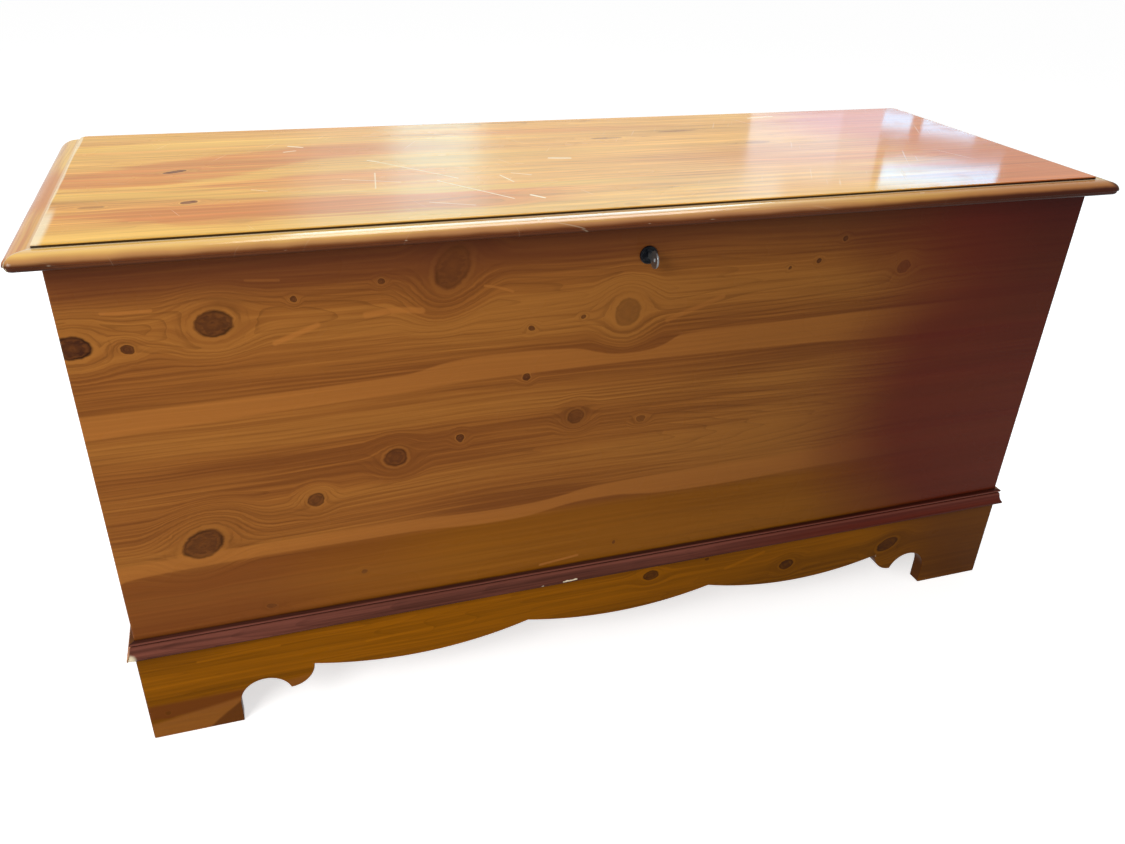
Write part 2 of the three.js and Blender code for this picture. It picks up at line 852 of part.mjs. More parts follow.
function lockPlug() {
  const half = tailSize / 2;
  const slot = keyThickness / 2 + fit;
  const slotHeight = keyBladeHeight / 2 + clearance;
  const tailEnd = camEnd + fit;
  const screwEnd = camEnd - camScrewLength;
  return turned([
    [0, plugFace],
    [plugHeadRadius, plugFace],
    [plugHeadRadius, plugStep],
    [plugRadius, plugStep],
    [plugRadius, barrelEnd],
    [0, barrelEnd],
  ])
    .add(block(-half, half, barrelEnd - half, tailEnd, -half, half))
    .subtract(block(
      -slot, slot, plugFace - overrun, plugFace + keyBladeLength + clearance, -slotHeight, slotHeight,
    ))
    .subtract(bar(
      unitY, camScrewRadius + fit, screwEnd, tailEnd + overrun, new THREE.Vector3(0, 0, 0),
    ));
}

// The cam points up at rest, clear of the strike, and turns over the strike's lip
function lockCam() {
  const half = camWidth / 2;
  const hole = tailSize / 2 + fit;
  const outline = new THREE.Shape();
  outline.absarc(0, 0, lockBarrelRadius, Math.PI, 2 * Math.PI, false);
  outline.lineTo(half, lockBarrelRadius);
  outline.absarc(0, camLength - half, half, 0, Math.PI, false);
  outline.lineTo(-half, lockBarrelRadius);
  outline.closePath();
  return sweepY(outline, camFace, camEnd)
    .subtract(block(-hole, hole, camFace - overrun, camEnd + overrun, -hole, hole));
}

function camScrew() {
  const under = camEnd + fit + clearance;
  const tip = camEnd - camScrewLength + clearance;
  const crown = camScrewHeadRadius * screwCrownShare;
  return turned([
    [0, tip],
    [camScrewRadius, tip],
    [camScrewRadius, under],
    [camScrewHeadRadius, under],
    [crown, under + camScrewHeadThickness],
    [0, under + camScrewHeadThickness],
  ], unitY, smallSides);
}

// The key: a bow with a ring hole, a neck and a blade with cuts along one edge
function key() {
  const face = plugFace - clearance;
  const tip = plugFace + keyBladeLength - fit;
  const bottom = -keyBladeHeight / 2;
  const top = keyBladeHeight / 2;
  const bowEnd = face - keyNeckLength;
  const bowCentre = bowEnd - keyBowLength / 2;
  const cut = keyCutDepth / 2;
  const blade = new THREE.Shape();
  blade.moveTo(bowCentre, bottom);
  for (const share of keyCutShares) {
    const y = face + share * keyBladeLength;
    blade.lineTo(y - cut, bottom);
    blade.lineTo(y, bottom + keyCutDepth);
    blade.lineTo(y + cut, bottom);
  }
  blade.lineTo(tip - keyCutDepth, bottom);
  blade.lineTo(tip, bottom + keyCutDepth);
  blade.lineTo(tip, top - keyCutDepth);
  blade.lineTo(tip - keyCutDepth, top);
  blade.lineTo(bowCentre, top);
  blade.closePath();
  const bow = new THREE.Shape();
  bow.absellipse(bowCentre, 0, keyBowLength / 2, keyBowHeight / 2, 0, 2 * Math.PI, false);
  const half = keyThickness / 2;
  const ring = new THREE.Vector3(0, bowCentre - keyBowHoleRadius, 0);
  return sweepX(blade, -half, half)
    .add(sweepX(bow, -half, half))
    .subtract(bar(unitX, keyBowHoleRadius, -overrun, overrun, ring));
}

// The strike: a plate on the lid, a leg down behind the cam and a lip under it,
// measured from the lock's axis and the case's front face
function strike() {
  const x0 = nutRadius + strikeSideGap;
  const x1 = x0 + strikeWidth;
  const legY = camEnd + strikeBackGap;
  const legBack = legY + strikeThickness;
  const lipTop = -camWidth / 2 - strikeLipGap;
  const plateTop = lockDrop + lidGap - clearance;
  const plateY = legBack + strikePlateDepth;
  const under = plateTop - strikeThickness;
  const down = unitZ.clone().negate();
  const holeY = legBack + strikePlateDepth / 2;
  const spread = strikePlateDepth / 4;
  return block(x0, x1, legY, plateY, under, plateTop)
    .add(block(x0, x1, legY, legBack, lipTop - strikeThickness, plateTop))
    .add(block(x0, x1, legY - strikeLipReach, legBack, lipTop - strikeThickness, lipTop))
    .subtract(screwHole((x0 + x1) / 2, holeY - spread, under, down))
    .subtract(screwHole((x0 + x1) / 2, holeY + spread, under, down));
}

// The assembly

const chest = new THREE.Group();
const lid = new THREE.Group();
lid.position.set(0, hingeY, hingeZ);
chest.add(lid);

chest.add(piece('front_panel', frontPanel(), cedar));
chest.add(piece('back_panel', backPanel(), rawCedar));
chest.add(piece('plinth_front', plinthFront(), cedar));
chest.add(piece('plinth_back', plinthBack(), rawCedar));
chest.add(piece('base_moulding_front', baseMouldingFront(), trimCedar));
chest.add(piece('floor_cleat_front', longCleat(cleatFront), rawCedar));
chest.add(piece('floor_cleat_back', longCleat(cleatBack - cleatSize), rawCedar));
for (let i = 0; i < floorBoards; i += 1) {
  chest.add(piece(`floor_board_${i + 1}`, floorBoard(i), rawCedar));
}

lid.add(piece('lid_panel', lidPanel(), paleCedar));
lid.add(piece('lid_moulding_front', lidMouldingFront(), paleCedar));

for (const side of [-1, 1]) {
  const hand = side < 0 ? 'left' : 'right';
  chest.add(piece(`${hand}_end_panel`, endPanel(side), cedar));
  chest.add(piece(`plinth_${hand}`, plinthEnd(side), cedar));
  chest.add(piece(`base_moulding_${hand}`, baseMouldingEnd(side), trimCedar));
  chest.add(piece(`floor_cleat_${hand}`, shortCleat(side), rawCedar));
  chest.add(piece(`corner_block_front_${hand}`, cornerBlock(side, false), rawCedar));
  chest.add(piece(`corner_block_back_${hand}`, cornerBlock(side, true), rawCedar));
  lid.add(piece(`lid_moulding_${hand}`, lidMouldingEnd(side), paleCedar));
  lid.add(piece(`lid_batten_${hand}`, lidBatten(side), rawCedar));

  const hinge = new THREE.Group();
  hinge.position.set(side * hingeReach, 0, 0);
  hinge.add(piece(`hinge_body_leaf_${hand}`, hingeLeaf(0, true), brass));
  hinge.add(piece(`hinge_lid_leaf_${hand}`, hingeLeaf(1, false), brass));
  hinge.add(piece(`hinge_pin_${hand}`, hingePin(), brass));
  lid.add(hinge);

  const stay = new THREE.Group();
  stay.position.set(side * innerHalfWidth, 0, 0);
  const bodyBracket = piece(`stay_body_bracket_${hand}`, stayBodyBracket(side), brass);
  bodyBracket.position.copy(bodyPivot);
  const lidBracket = piece(`stay_lid_bracket_${hand}`, stayLidBracket(side), brass);
  lidBracket.position.copy(lidPivot);
  const bodyRivet = piece(
    `stay_body_rivet_${hand}`, rivet(side, plateLayer[0], lowerLayer[1], false), brass,
  );
  bodyRivet.position.copy(bodyPivot);
  const elbowRivet = piece(
    `stay_elbow_rivet_${hand}`, rivet(side, lowerLayer[0], upperLayer[1], true), brass,
  );
  elbowRivet.position.copy(elbow);
  const lidRivet = piece(
    `stay_lid_rivet_${hand}`, rivet(side, lowerLayer[0], upperLayer[1], true), brass,
  );
  lidRivet.position.copy(lidPivot);
  stay.add(bodyBracket, lidBracket, bodyRivet, elbowRivet, lidRivet);
  stay.add(placedArm(`stay_lower_arm_${hand}`, side, lowerLayer, bodyPivot, elbow));
  stay.add(placedArm(`stay_upper_arm_${hand}`, side, upperLayer, lidPivot, elbow));
  lid.add(stay);
}

const lock = new THREE.Group();
lock.position.set(0, 0, lockZ);
lock.add(piece('lock_housing', lockHousing(), blackMetal));
lock.add(piece('lock_nut', lockNut(), steel));
lock.add(piece('lock_plug', lockPlug(), blackMetal));
lock.add(piece('lock_cam', lockCam(), steel));
lock.add(piece('lock_cam_screw', camScrew(), steel));
lock.add(piece('key', key(), steel));
lock.add(piece('strike', strike(), brass));
chest.add(lock);

// Centred on the depth from the key's bow or the edging's nose to the hinge knuckles
const keyReach = lockFlangeThickness - plugRecess + clearance + keyNeckLength + keyBowLength;
const frontReach = Math.max(keyReach, panelProud + lidReach);
chest.position.y = (frontReach - hingeY - knuckleRadius) / 2;

const group = new THREE.Group();
group.add(chest);
export default group;
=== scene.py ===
"""A varnished cedar blanket chest: finishes for its packed pieces, and fine pieces around them."""

import math
from functools import reduce
from typing import NamedTuple

import bmesh
import bpy
from bpy.props import FloatProperty, FloatVectorProperty, IntProperty, PointerProperty
from mathutils import Matrix, Vector, noise


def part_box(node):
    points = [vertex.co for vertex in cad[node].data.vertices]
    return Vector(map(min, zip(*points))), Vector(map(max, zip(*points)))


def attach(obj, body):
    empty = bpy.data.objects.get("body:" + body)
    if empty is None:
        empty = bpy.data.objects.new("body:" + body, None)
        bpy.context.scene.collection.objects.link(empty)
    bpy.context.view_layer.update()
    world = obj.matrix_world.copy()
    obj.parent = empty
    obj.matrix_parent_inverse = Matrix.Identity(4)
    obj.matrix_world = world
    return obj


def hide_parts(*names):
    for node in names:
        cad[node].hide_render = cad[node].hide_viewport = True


bl_info = {
    "name": "Cedar Blanket Chest",
    "version": (1, 0, 0),
    "blender": (4, 5, 0),
    "location": "3D View > Sidebar > Chest",
    "description": "Finishes and fine pieces of a varnished cedar blanket chest",
    "category": "Object",
}

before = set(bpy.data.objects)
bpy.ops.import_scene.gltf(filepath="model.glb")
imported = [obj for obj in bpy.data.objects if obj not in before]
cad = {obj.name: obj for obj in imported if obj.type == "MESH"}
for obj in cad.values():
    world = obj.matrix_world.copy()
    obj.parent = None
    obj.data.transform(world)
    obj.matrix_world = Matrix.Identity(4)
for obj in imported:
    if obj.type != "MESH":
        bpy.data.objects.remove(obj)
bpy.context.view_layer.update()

MM = 0.001

# Faces of the packed pieces, in metres
CASE_LOW, CASE_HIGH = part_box("front_panel")
LID_LOW, LID_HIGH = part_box("lid_panel")
BACK_LOW, BACK_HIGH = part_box("back_panel")
END_LOW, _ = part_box("right_end_panel")
EDGING_LOW, EDGING_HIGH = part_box("lid_moulding_front")
PLINTH_LOW, PLINTH_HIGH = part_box("plinth_front")
TRIM_LOW, TRIM_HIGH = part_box("base_moulding_front")
LOCK_LOW, LOCK_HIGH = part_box("lock_housing")
PLUG_LOW, PLUG_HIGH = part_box("lock_plug")
KEY_LOW, KEY_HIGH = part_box("key")
FRONT = CASE_LOW.y
FRONT_INNER = FRONT + 18 * MM
BACK = BACK_HIGH.y
TRIM_TOP = TRIM_HIGH.z + 1.2 * MM
LOCK_AXIS = (LOCK_LOW.z + LOCK_HIGH.z) / 2

HANDS = ((-1, "left"), (1, "right"))


def srgb(red, green, blue):
    """A colour named by its 0 to 255 values, as the linear one that shaders use."""
    shares = (channel / 255 for channel in (red, green, blue))
    return tuple(s / 12.92 if s <= 0.04045 else ((s + 0.055) / 1.055) ** 2.4 for s in shares)


def toned(tint, factor):
    """A colour made lighter or darker."""
    return tuple(channel * factor for channel in tint)


def halfway(a, b):
    """The colour half way between two."""
    return tuple((p + q) / 2 for p, q in zip(a, b))


def length(name, description, millimetres):
    return FloatProperty(
        name=name, description=description, default=millimetres * MM, min=0, unit="LENGTH"
    )


def colour(name, description, default):
    return FloatVectorProperty(
        name=name, description=description, default=default, size=3, min=0, max=1, subtype="COLOR"
    )


def light(name, description, default):
    return FloatProperty(name=name, description=description, default=default, min=0)


# Sizes and colours that a user would change


class ChestEdging(bpy.types.PropertyGroup):
    """The edging round the lid."""

    nose: length("Nose Width", "How far in the round of the edging's outer top edge begins", 15.0)
    drop: length("Nose Height", "How far down that round goes", 9.5)
    undercut: length("Undercut", "How far the face falls back below the nose", 1.6)
    foot: length("Foot Radius", "Round of the edging's lower edge", 4.5)
    front_corner: length("Front Corner", "Radius of the lid's front corners in plan", 9.0)
    back_corner: length("Back Corner", "Radius of the lid's back corners in plan", 30.0)
    panel_corner: length("Panel Corner", "Radius of the boards' back corners in plan", 9.0)
    ease: length("Eased Edge", "Width of the boards' softened edges", 0.7)
    dents: length("Dents", "Depth of the dents along the nose", 0.22)


class ChestPlinth(bpy.types.PropertyGroup):
    """The plinth with its bracket feet and scallops."""

    thickness: length("Thickness", "Thickness of the plinth's boards", 19.0)
    foot: length("Front Foot", "Width of a front foot", 101.0)
    end_foot: length("End Foot", "Width of a foot seen from the end", 82.0)
    bracket: length("Bracket Radius", "Radius of the round cut beside a foot", 30.0)
    bracket_height: length("Bracket Height", "Height of that cut's centre", 29.0)
    lobe: length("Lobe Radius", "Radius of the lobe beside the cut", 30.0)
    cusp: length("Cusp Height", "Height at which two scallops meet", 72.0)
    outer_sag: length("Outer Sag", "How far an outer scallop hangs", 18.0)
    middle_sag: length("Middle Sag", "How far the middle scallop hangs", 15.0)
    end_sag: length("End Sag", "How far the scallop of an end hangs", 8.0)
    ease: length("Eased Edge", "Width of the softened edges", 0.9)


class ChestTrim(bpy.types.PropertyGroup):
    """The moulding at the foot of the case."""

    lip: length("Lip Height", "Height of the square lip at the bottom", 2.6)
    bead: length("Bead Radius", "Radius of the bead along the top", 1.7)
    bead_reach: length("Bead Reach", "How far the bead's centre stands out", 3.9)
    quirk: length("Quirk Width", "Width of the groove below the bead", 1.2)
    quirk_reach: length("Quirk Reach", "How far out the groove's floor lies", 2.3)


class ChestHardware(bpy.types.PropertyGroup):
    """Screws, lock and key."""

    screw_head: length("Screw Head", "Radius of a screw's head", 3.4)
    screw_shank: length("Screw Shank", "Radius of a screw's shank", 1.6)
    screw_length: length("Screw Length", "Length of a screw", 10.0)
    screw_slot: length("Screw Slot", "Width of the driver's cross", 0.75)
    bow: length("Key Bow", "Height of the key's bow", 19.0)
    bow_hole: length("Bow Hole", "Radius of the hole in the key's bow", 2.6)
    facets: IntProperty(name="Facets", description="Sides of a turned piece", default=64, min=16)


class ChestColours(bpy.types.PropertyGroup):
    """Colours of the woods and metals."""

    heart: colour("Heartwood", "Body colour of the case's boards", srgb(145, 88, 36))
    russet: colour("Russet Heartwood", "Redder and darker streaks", srgb(126, 72, 29))
    golden: colour("Golden Heartwood", "Lighter streaks", srgb(158, 100, 42))
    sapwood: colour("Sapwood", "The pale bands along the boards", srgb(164, 102, 44))
    low_board: colour("Lowest Board", "The redder left end of the lowest board", srgb(114, 60, 22))
    # Partly redder wood, partly the lid's shadow painted in
    red_and_lid_shadow: colour("Under The Lid", "The dark strip along the top of the front", srgb(92, 45, 27))
    knot: colour("Knots", "The heart of a knot", srgb(60, 30, 16))
    # Painted dark reflection on the right end of the front
    dark_reflection: colour("Dark End", "The dark, red end of the front", srgb(86, 25, 16))
    dark_reflection_deep: colour("Dark Corner", "Its darkest corner, under the lid", srgb(68, 14, 10))
    lid_heart: colour("Lid Heartwood", "Body colour of the lid", srgb(215, 157, 78))
    lid_russet: colour("Lid Russet", "Pinker streaks of the lid", srgb(200, 122, 60))
    lid_pale: colour("Lid Sapwood", "Yellow streaks of the lid", srgb(228, 180, 88))
    lid_end: colour("Lid, Right End", "The redder right end of the lid", srgb(188, 91, 40))
    lid_knot: colour("Lid Knots", "The heart of a knot in the lid", srgb(88, 38, 16))
    # The edging's face: browned wood with painted shade under the nose
    edging_face: colour("Edging Face", "The browned face of the lid's edging", srgb(98, 48, 24))
    edging_dark: colour("Edging Face, Right", "Its darker right end", srgb(56, 16, 12))
    trim: colour("Base Moulding", "Body colour of the base moulding", srgb(98, 55, 44))
    # Painted dark reflection on the right end of the base moulding
    trim_dark_reflection: colour("Base Moulding, Red", "The redder right end of the moulding", srgb(90, 32, 20))
    plinth: colour("Plinth", "Body colour of the plinth", srgb(138, 82, 6))
    bare: colour("Bare Cedar", "Unvarnished cedar inside", srgb(176, 112, 78))
    bare_deep: colour("Bare Cedar, Deep", "Its darker streaks", srgb(148, 82, 60))
    bare_sap: colour("Bare Sapwood", "Its pale streaks", srgb(214, 176, 130))
    chip: colour("Chips", "Raw wood where the finish is broken", srgb(240, 226, 194))
    # Painted shade: this dark colour is laid where shade falls in creases, steps, seams and under
    # overhangs, with some dirt
    painted_shade_and_dirt: colour("Grime", "Dirt in the corners", srgb(34, 16, 10))
    brass: colour("Brass", "Hinges, stays and strike", srgb(196, 158, 88))
    steel: colour("Steel", "Key, nut and cam", srgb(132, 136, 138))
    black: colour("Black Lock", "The lock's face", srgb(4, 7, 14))


class ChestStage(bpy.types.PropertyGroup):
    """Floor, lamps and camera."""

    lens: FloatProperty(
        name="Lens", description="Focal length on a 36 mm sensor", default=30.24,
        subtype="DISTANCE_CAMERA",
    )
    place: FloatVectorProperty(
        name="Camera", description="Where the camera stands", default=(-0.40007, -1.08349, 0.88618),
        size=3, subtype="TRANSLATION", unit="LENGTH",
    )
    aim: FloatVectorProperty(
        name="Aim", description="How the camera is turned",
        default=tuple(math.radians(a) for a in (60.5736, -1.9383, -18.1366)), size=3, subtype="EULER",
    )
    key: light("Key Lamp", "Power of the lamp at the front left", 50)
    top: light("Top Lamp", "Power of the lamp over the lid", 24)
    panes: light("Panes", "Brightness of the window panes that the lid mirrors", 5)
    fill: light("Sky", "Strength of the light from all round", 0.4)
    floor: colour("Floor", "Colour of the floor", (0.86, 0.86, 0.86))


GROUPS = {
    "chest_edging": ChestEdging,
    "chest_plinth": ChestPlinth,
    "chest_trim": ChestTrim,
    "chest_hardware": ChestHardware,
    "chest_colours": ChestColours,
    "chest_stage": ChestStage,
}


# Fields: numbers and colours that vary over a surface


class Field:
    """An output of a shader node, which can be added and multiplied."""

    def __init__(self, graph, socket):
        self.graph = graph
        self.socket = socket

    def __add__(self, other):
        return self.graph.math("ADD", self, other)

    def __radd__(self, other):
        return self.graph.math("ADD", other, self)

    def __sub__(self, other):
        return self.graph.math("SUBTRACT", self, other)

    def __rsub__(self, other):
        return self.graph.math("SUBTRACT", other, self)

    def __mul__(self, other):
        return self.graph.math("MULTIPLY", self, other)

    def __rmul__(self, other):
        return self.graph.math("MULTIPLY", other, self)

    def __truediv__(self, other):
        return self.graph.math("DIVIDE", self, other)


class Graph:
    """The nodes of one material or world."""

    def __init__(self, tree):
        self.tree = tree
        tree.nodes.clear()

    def node(self, kind, **settings):
        made = self.tree.nodes.new(kind)
        for key, value in settings.items():
            setattr(made, key, value)
        return made

    def feed(self, socket, value):
        if isinstance(value, Field):
            self.tree.links.new(value.socket, socket)
        elif getattr(socket, "type", "") == "RGBA" and len(value) == 3:
            socket.default_value = (*value, 1)
        else:
            socket.default_value = value

    def run(self, node, inputs, output=0):
        for key, value in inputs.items():
            self.feed(node.inputs[key], value)
        return Field(self, node.outputs[output])

    def math(self, operation, *values):
        node = self.node("ShaderNodeMath", operation=operation)
        return self.run(node, dict(enumerate(values)))

    def vector(self, operation, *values, output=0):
        node = self.node("ShaderNodeVectorMath", operation=operation)
        return self.run(node, dict(enumerate(values)), output)

    def point(self, x, y, z=0.0):
        return self.run(self.node("ShaderNodeCombineXYZ"), {0: x, 1: y, 2: z})

    def parts(self, vector):
        node = self.node("ShaderNodeSeparateXYZ")
        self.feed(node.inputs[0], vector)
        return [Field(self, out) for out in node.outputs]

    def smooth(self, value, low, high, start=0.0, end=1.0):
        """Turns smoothly from start to end as a value goes from low to high."""
        node = self.node("ShaderNodeMapRange", interpolation_type="SMOOTHSTEP")
        if low > high:
            low, high, start, end = high, low, end, start
        return self.run(node, {0: value, 1: low, 2: high, 3: start, 4: end})

    def noise(self, place, detail=1.0):
        """Soft noise about zero, one lump to a unit of place."""
        node = self.node("ShaderNodeTexNoise", noise_dimensions="3D")
        return self.run(node, {"Vector": place, "Scale": 1.0, "Detail": detail}) - 0.5

    def grain(self, u, v, w, along, across, seed, detail=1.0):
        """Noise drawn out along a board: its lumps to a metre along and across the grain."""
        return self.noise(self.point(u * along + seed, v * across, w * across), detail)

    def mix(self, factor, a, b):
        node = self.node("ShaderNodeMix", data_type="RGBA")
        return self.run(node, {0: factor, 6: a, 7: b}, 2)

    def shade(self, tint, factor):
        """A colour made lighter or darker by a number."""
        node = self.node("ShaderNodeVectorMath", operation="SCALE")
        return self.run(node, {0: tint, 3: factor})

    def line(self, value, points):
        """A smooth line through named points, each a place and its height."""
        (x0, *_), (x1, *_) = points[0], points[-1]
        low = min(y for _, y in points)
        high = max(y for _, y in points)
        node = self.node("ShaderNodeFloatCurve")
        bends = node.mapping.curves[0].points
        for i, (x, y) in enumerate(points):
            where = ((x - x0) / (x1 - x0), (y - low) / (high - low))
            if i in (0, 1):
                bends[i].location = where
            else:
                bends.new(*where)
        node.mapping.update()
        return self.run(node, {1: (value - x0) / (x1 - x0)}) * (high - low) + low

    def steps(self, value, edges, values):
        """Values that change at each edge."""
        total = values[0]
        for edge, before, after in zip(edges, values, values[1:]):
            total = self.math("GREATER_THAN", value, edge) * (after - before) + total
        return total


def either(*fields):
    """The greatest of several fields."""
    return reduce(lambda a, b: a.graph.math("MAXIMUM", a, b), fields)


def between(value, low, high, soft):
    """One between two edges and zero outside, with soft sides."""
    g = value.graph
    return g.smooth(value, low - soft, low + soft) * g.smooth(value, high + soft, high - soft)


class Surface:
    """A material whose shader is fed at the end."""

    def __init__(self, name):
        self.material = bpy.data.materials.new(name)
        self.material.use_nodes = True
        self.g = Graph(self.material.node_tree)
        coordinates = self.g.node("ShaderNodeTexCoord")
        self.place = Field(self.g, coordinates.outputs["Object"])
        self.x, self.y, self.z = self.g.parts(self.place)

    def along(self, axes):
        """The coordinates in a board's own order: along the grain, across it and inward."""
        return [getattr(self, axis) for axis in axes]

    def edge(self, radius):
        """Normal rounded over the edges, and how near an edge a point lies."""
        g = self.g
        rounding = g.node("ShaderNodeBevel", samples=4)
        rounding.inputs["Radius"].default_value = radius
        normal = Field(g, rounding.outputs[0])
        flat = Field(g, g.node("ShaderNodeNewGeometry").outputs["Normal"])
        turned = g.vector("DOT_PRODUCT", normal, flat, output=1)
        return normal, g.smooth(turned, 0.995, 0.90)

    def finish(self, colour_field, roughness, height, relief, normal=None, **sockets):
        g = self.g
        shader = g.node("ShaderNodeBsdfPrincipled")
        g.feed(shader.inputs["Base Color"], colour_field)
        g.feed(shader.inputs["Roughness"], roughness)
        for key, value in sockets.items():
            g.feed(shader.inputs[key.replace("_", " ")], value)
        bump = g.node("ShaderNodeBump")
        bump.inputs["Strength"].default_value = 1.0
        bump.inputs["Distance"].default_value = relief
        g.feed(bump.inputs["Height"], height)
        if normal is not None:
            g.feed(bump.inputs["Normal"], normal)
        g.feed(shader.inputs["Normal"], Field(g, bump.outputs[0]))
        out = g.node("ShaderNodeOutputMaterial")
        g.tree.links.new(shader.outputs[0], out.inputs[0])
        return self.material


# Cedar


class Knot(NamedTuple):
    """A knot: its place along and across the grain and its radius in mm, how much longer it
    is than wide, how dark it is, how many rings bend round it, and its lean in degrees."""

    along: float
    across: float
    radius: float
    stretch: float
    dark: float
    rings: float
    lean: float = 0.0


class Board(NamedTuple):
    """Where a board begins across the panel, and its pith's place across and depth, in mm."""

    edge: float
    pith: float
    depth: float


class Cut(NamedTuple):
    """How a panel was cut from the log."""

    seed: float
    boards: tuple
    knots: tuple = ()
    ring: float = 5.0
    wander: float = 11.0
    tilt: float = 0.03


def figure(g, u, v, w, cut):
    """The figure of a cedar face: u runs along the grain, v across the face and w inward.
    Returns the growth rings, the grain line, how far off the nearest knot is in its own
    radii, how dark the knots are, and how strongly they mark the wood round them."""
    seed = cut.seed
    # Waves of the grain, small and large
    shake = g.grain(u, v, w, 45, 60, seed, 2.0)
    shiver = g.grain(u, v, w, 150, 190, seed)
    wander = g.grain(u, v, w, 1.6, 5, seed)
    ripple = g.grain(u, v, w, 7, 26, seed)
    line = v + wander * (2 * cut.wander * MM) + ripple * (6 * MM)
    place = g.point(
        u + shake * (6 * MM) + shiver * (3 * MM),
        v + shake * (4 * MM) - shiver * (2 * MM),
    )
    # The grain line bends round each knot in turn
    swells, inner, marks, near = [], [], [], None
    for knot in cut.knots:
        ku, kv, radius = knot.along * MM, knot.across * MM, knot.radius * MM
        eye = g.node("ShaderNodeMapping", vector_type="TEXTURE")
        turn = (0, 0, math.radians(knot.lean))
        size = (radius * knot.stretch, radius, 1)
        rel = g.run(eye, {"Vector": place, "Location": (ku, kv, 0), "Rotation": turn, "Scale": size})
        away = g.vector("LENGTH", rel, output=1)
        pull = g.smooth(away, 3.6, 0.7)
        line = g.math("MULTIPLY_ADD", kv - line, pull, line)
        swells.append(pull * knot.rings)
        inner.append(g.smooth(away, 1.08, 0.88, 0.0, knot.dark))
        marks.append(g.smooth(away, 2.8, 1.1, 0.0, knot.dark))
        near = g.math("MINIMUM", near, away) if near else away
    # Each board's rings lie round its own pith
    edges = [board.edge * MM for board in cut.boards[1:]]
    pith = g.steps(v, edges, [board.pith * MM for board in cut.boards])
    depth = g.steps(v, edges, [board.depth * MM for board in cut.boards])
    rise = depth + w + u * cut.tilt + g.noise(g.point(u * 2.4 + seed, v * 1.5, 3.0), 1.0) * (44 * MM)
    off = line - pith
    reach = g.math("SQRT", off * off + rise * rise)
    turn = reach / (cut.ring * MM) + g.noise(g.point(line * 90, u * 1.2, seed), 0.0) * 1.3
    slope = g.math("ABSOLUTE", off) / reach + 0.14
    dark, aura = None, None
    if cut.knots:
        dark, aura = either(*inner), either(*marks)
        turn = turn + sum(swells[1:], swells[0])
        slope = slope + aura * 0.35
    turn = g.math("FRACT", turn)
    # The dark line of late wood is about a millimetre wide wherever the ring is cut
    rest = (1.0 - turn) / (slope * (0.9 / cut.ring))
    late = g.smooth(rest, 2.2, 0.7) * 0.65 + g.smooth(turn, 0.1, 1.0) * 0.35
    return late, line, near, dark, aura


class Wood(NamedTuple):
    """The colours and finish of a cedar face, whose strengths go from 0 to 1."""

    body: tuple
    deep: tuple
    light: tuple
    knot: tuple
    rings: float = 0.34
    streaks: float = 0.5
    gloss: float = 0.26
    flecks: float = 0.0


def cedar_colour(g, u, v, w, cut, wood):
    """Colour and relief of a cedar face, its grain line, and how dark its knots are."""
    late, line, near, dark, aura = figure(g, u, v, w, cut)
    seed = cut.seed
    # Streaks along the grain, from broad to fine
    broad = g.grain(u, line, w, 1.3, 15, seed + 11, 1.0)
    streak = g.grain(u, line, w, 4.0, 230, seed + 23, 2.0)
    fibre = g.grain(u, line, w, 16, 800, seed + 31, 1.0)
    tone = g.smooth(broad + streak * 0.45, -0.24, 0.24)
    tint = g.mix(g.smooth(tone, 0.0, 0.5), wood.deep, wood.body)
    tint = g.mix(g.smooth(tone, 0.5, 1.0), tint, wood.light)
    # The late wood's dark lines show more in some places than in others
    patchy = g.smooth(g.grain(u, v, w, 3.0, 18, seed + 61, 1.0), -0.2, 0.22, 0.14, 1.0)
    lines = late * patchy
    tint = g.mix(lines * wood.rings, tint, g.shade(wood.deep, 0.55))
    tint = g.shade(tint, 1.0 + streak * wood.streaks + fibre * (wood.streaks * 0.6))
    if wood.flecks:
        fleck = g.grain(u, line, w, 12, 240, seed + 47, 0.0)
        tint = g.mix(g.smooth(fleck, 0.19, 0.27) * wood.flecks, tint, g.shade(wood.light, 1.2))
    if cut.knots:
        # A knot has a mottled heart, a broken dark rim, a pale ring and dark arcs round it
        mottle = g.grain(u, v, w, 130, 210, seed, 2.0)
        broken = g.smooth(g.noise(g.point(u * 55 + seed, v * 70, 9.0), 1.0), -0.12, 0.12)
        whorl = g.smooth(g.math("SINE", near * 10.0 + mottle * 9), -0.6, 1.0)
        heart = g.mix(g.smooth(mottle, -0.3, 0.3) * 0.3 + whorl * 0.2, wood.knot, wood.deep)
        rim = between(near, 0.82, 1.0, 0.1) * (broken * 0.5 + 0.25)
        heart = g.shade(heart, 1.0 - rim)
        pale = between(near, 1.04, 1.26, 0.08) * aura
        tint = g.mix(pale * 0.5, tint, g.shade(wood.light, 1.05))
        arcs = g.smooth(g.math("FRACT", near * 2.1 + mottle * 0.35), 0.6, 0.95)
        arcs = arcs * broken * aura * g.smooth(near, 1.15, 1.35)
        tint = g.mix(arcs * 0.36, tint, g.shade(wood.deep, 0.6))
        tint = g.mix(dark, tint, heart)
    relief = fibre * 0.25 + streak * 0.4 - lines * 0.3
    return tint, relief, line, dark


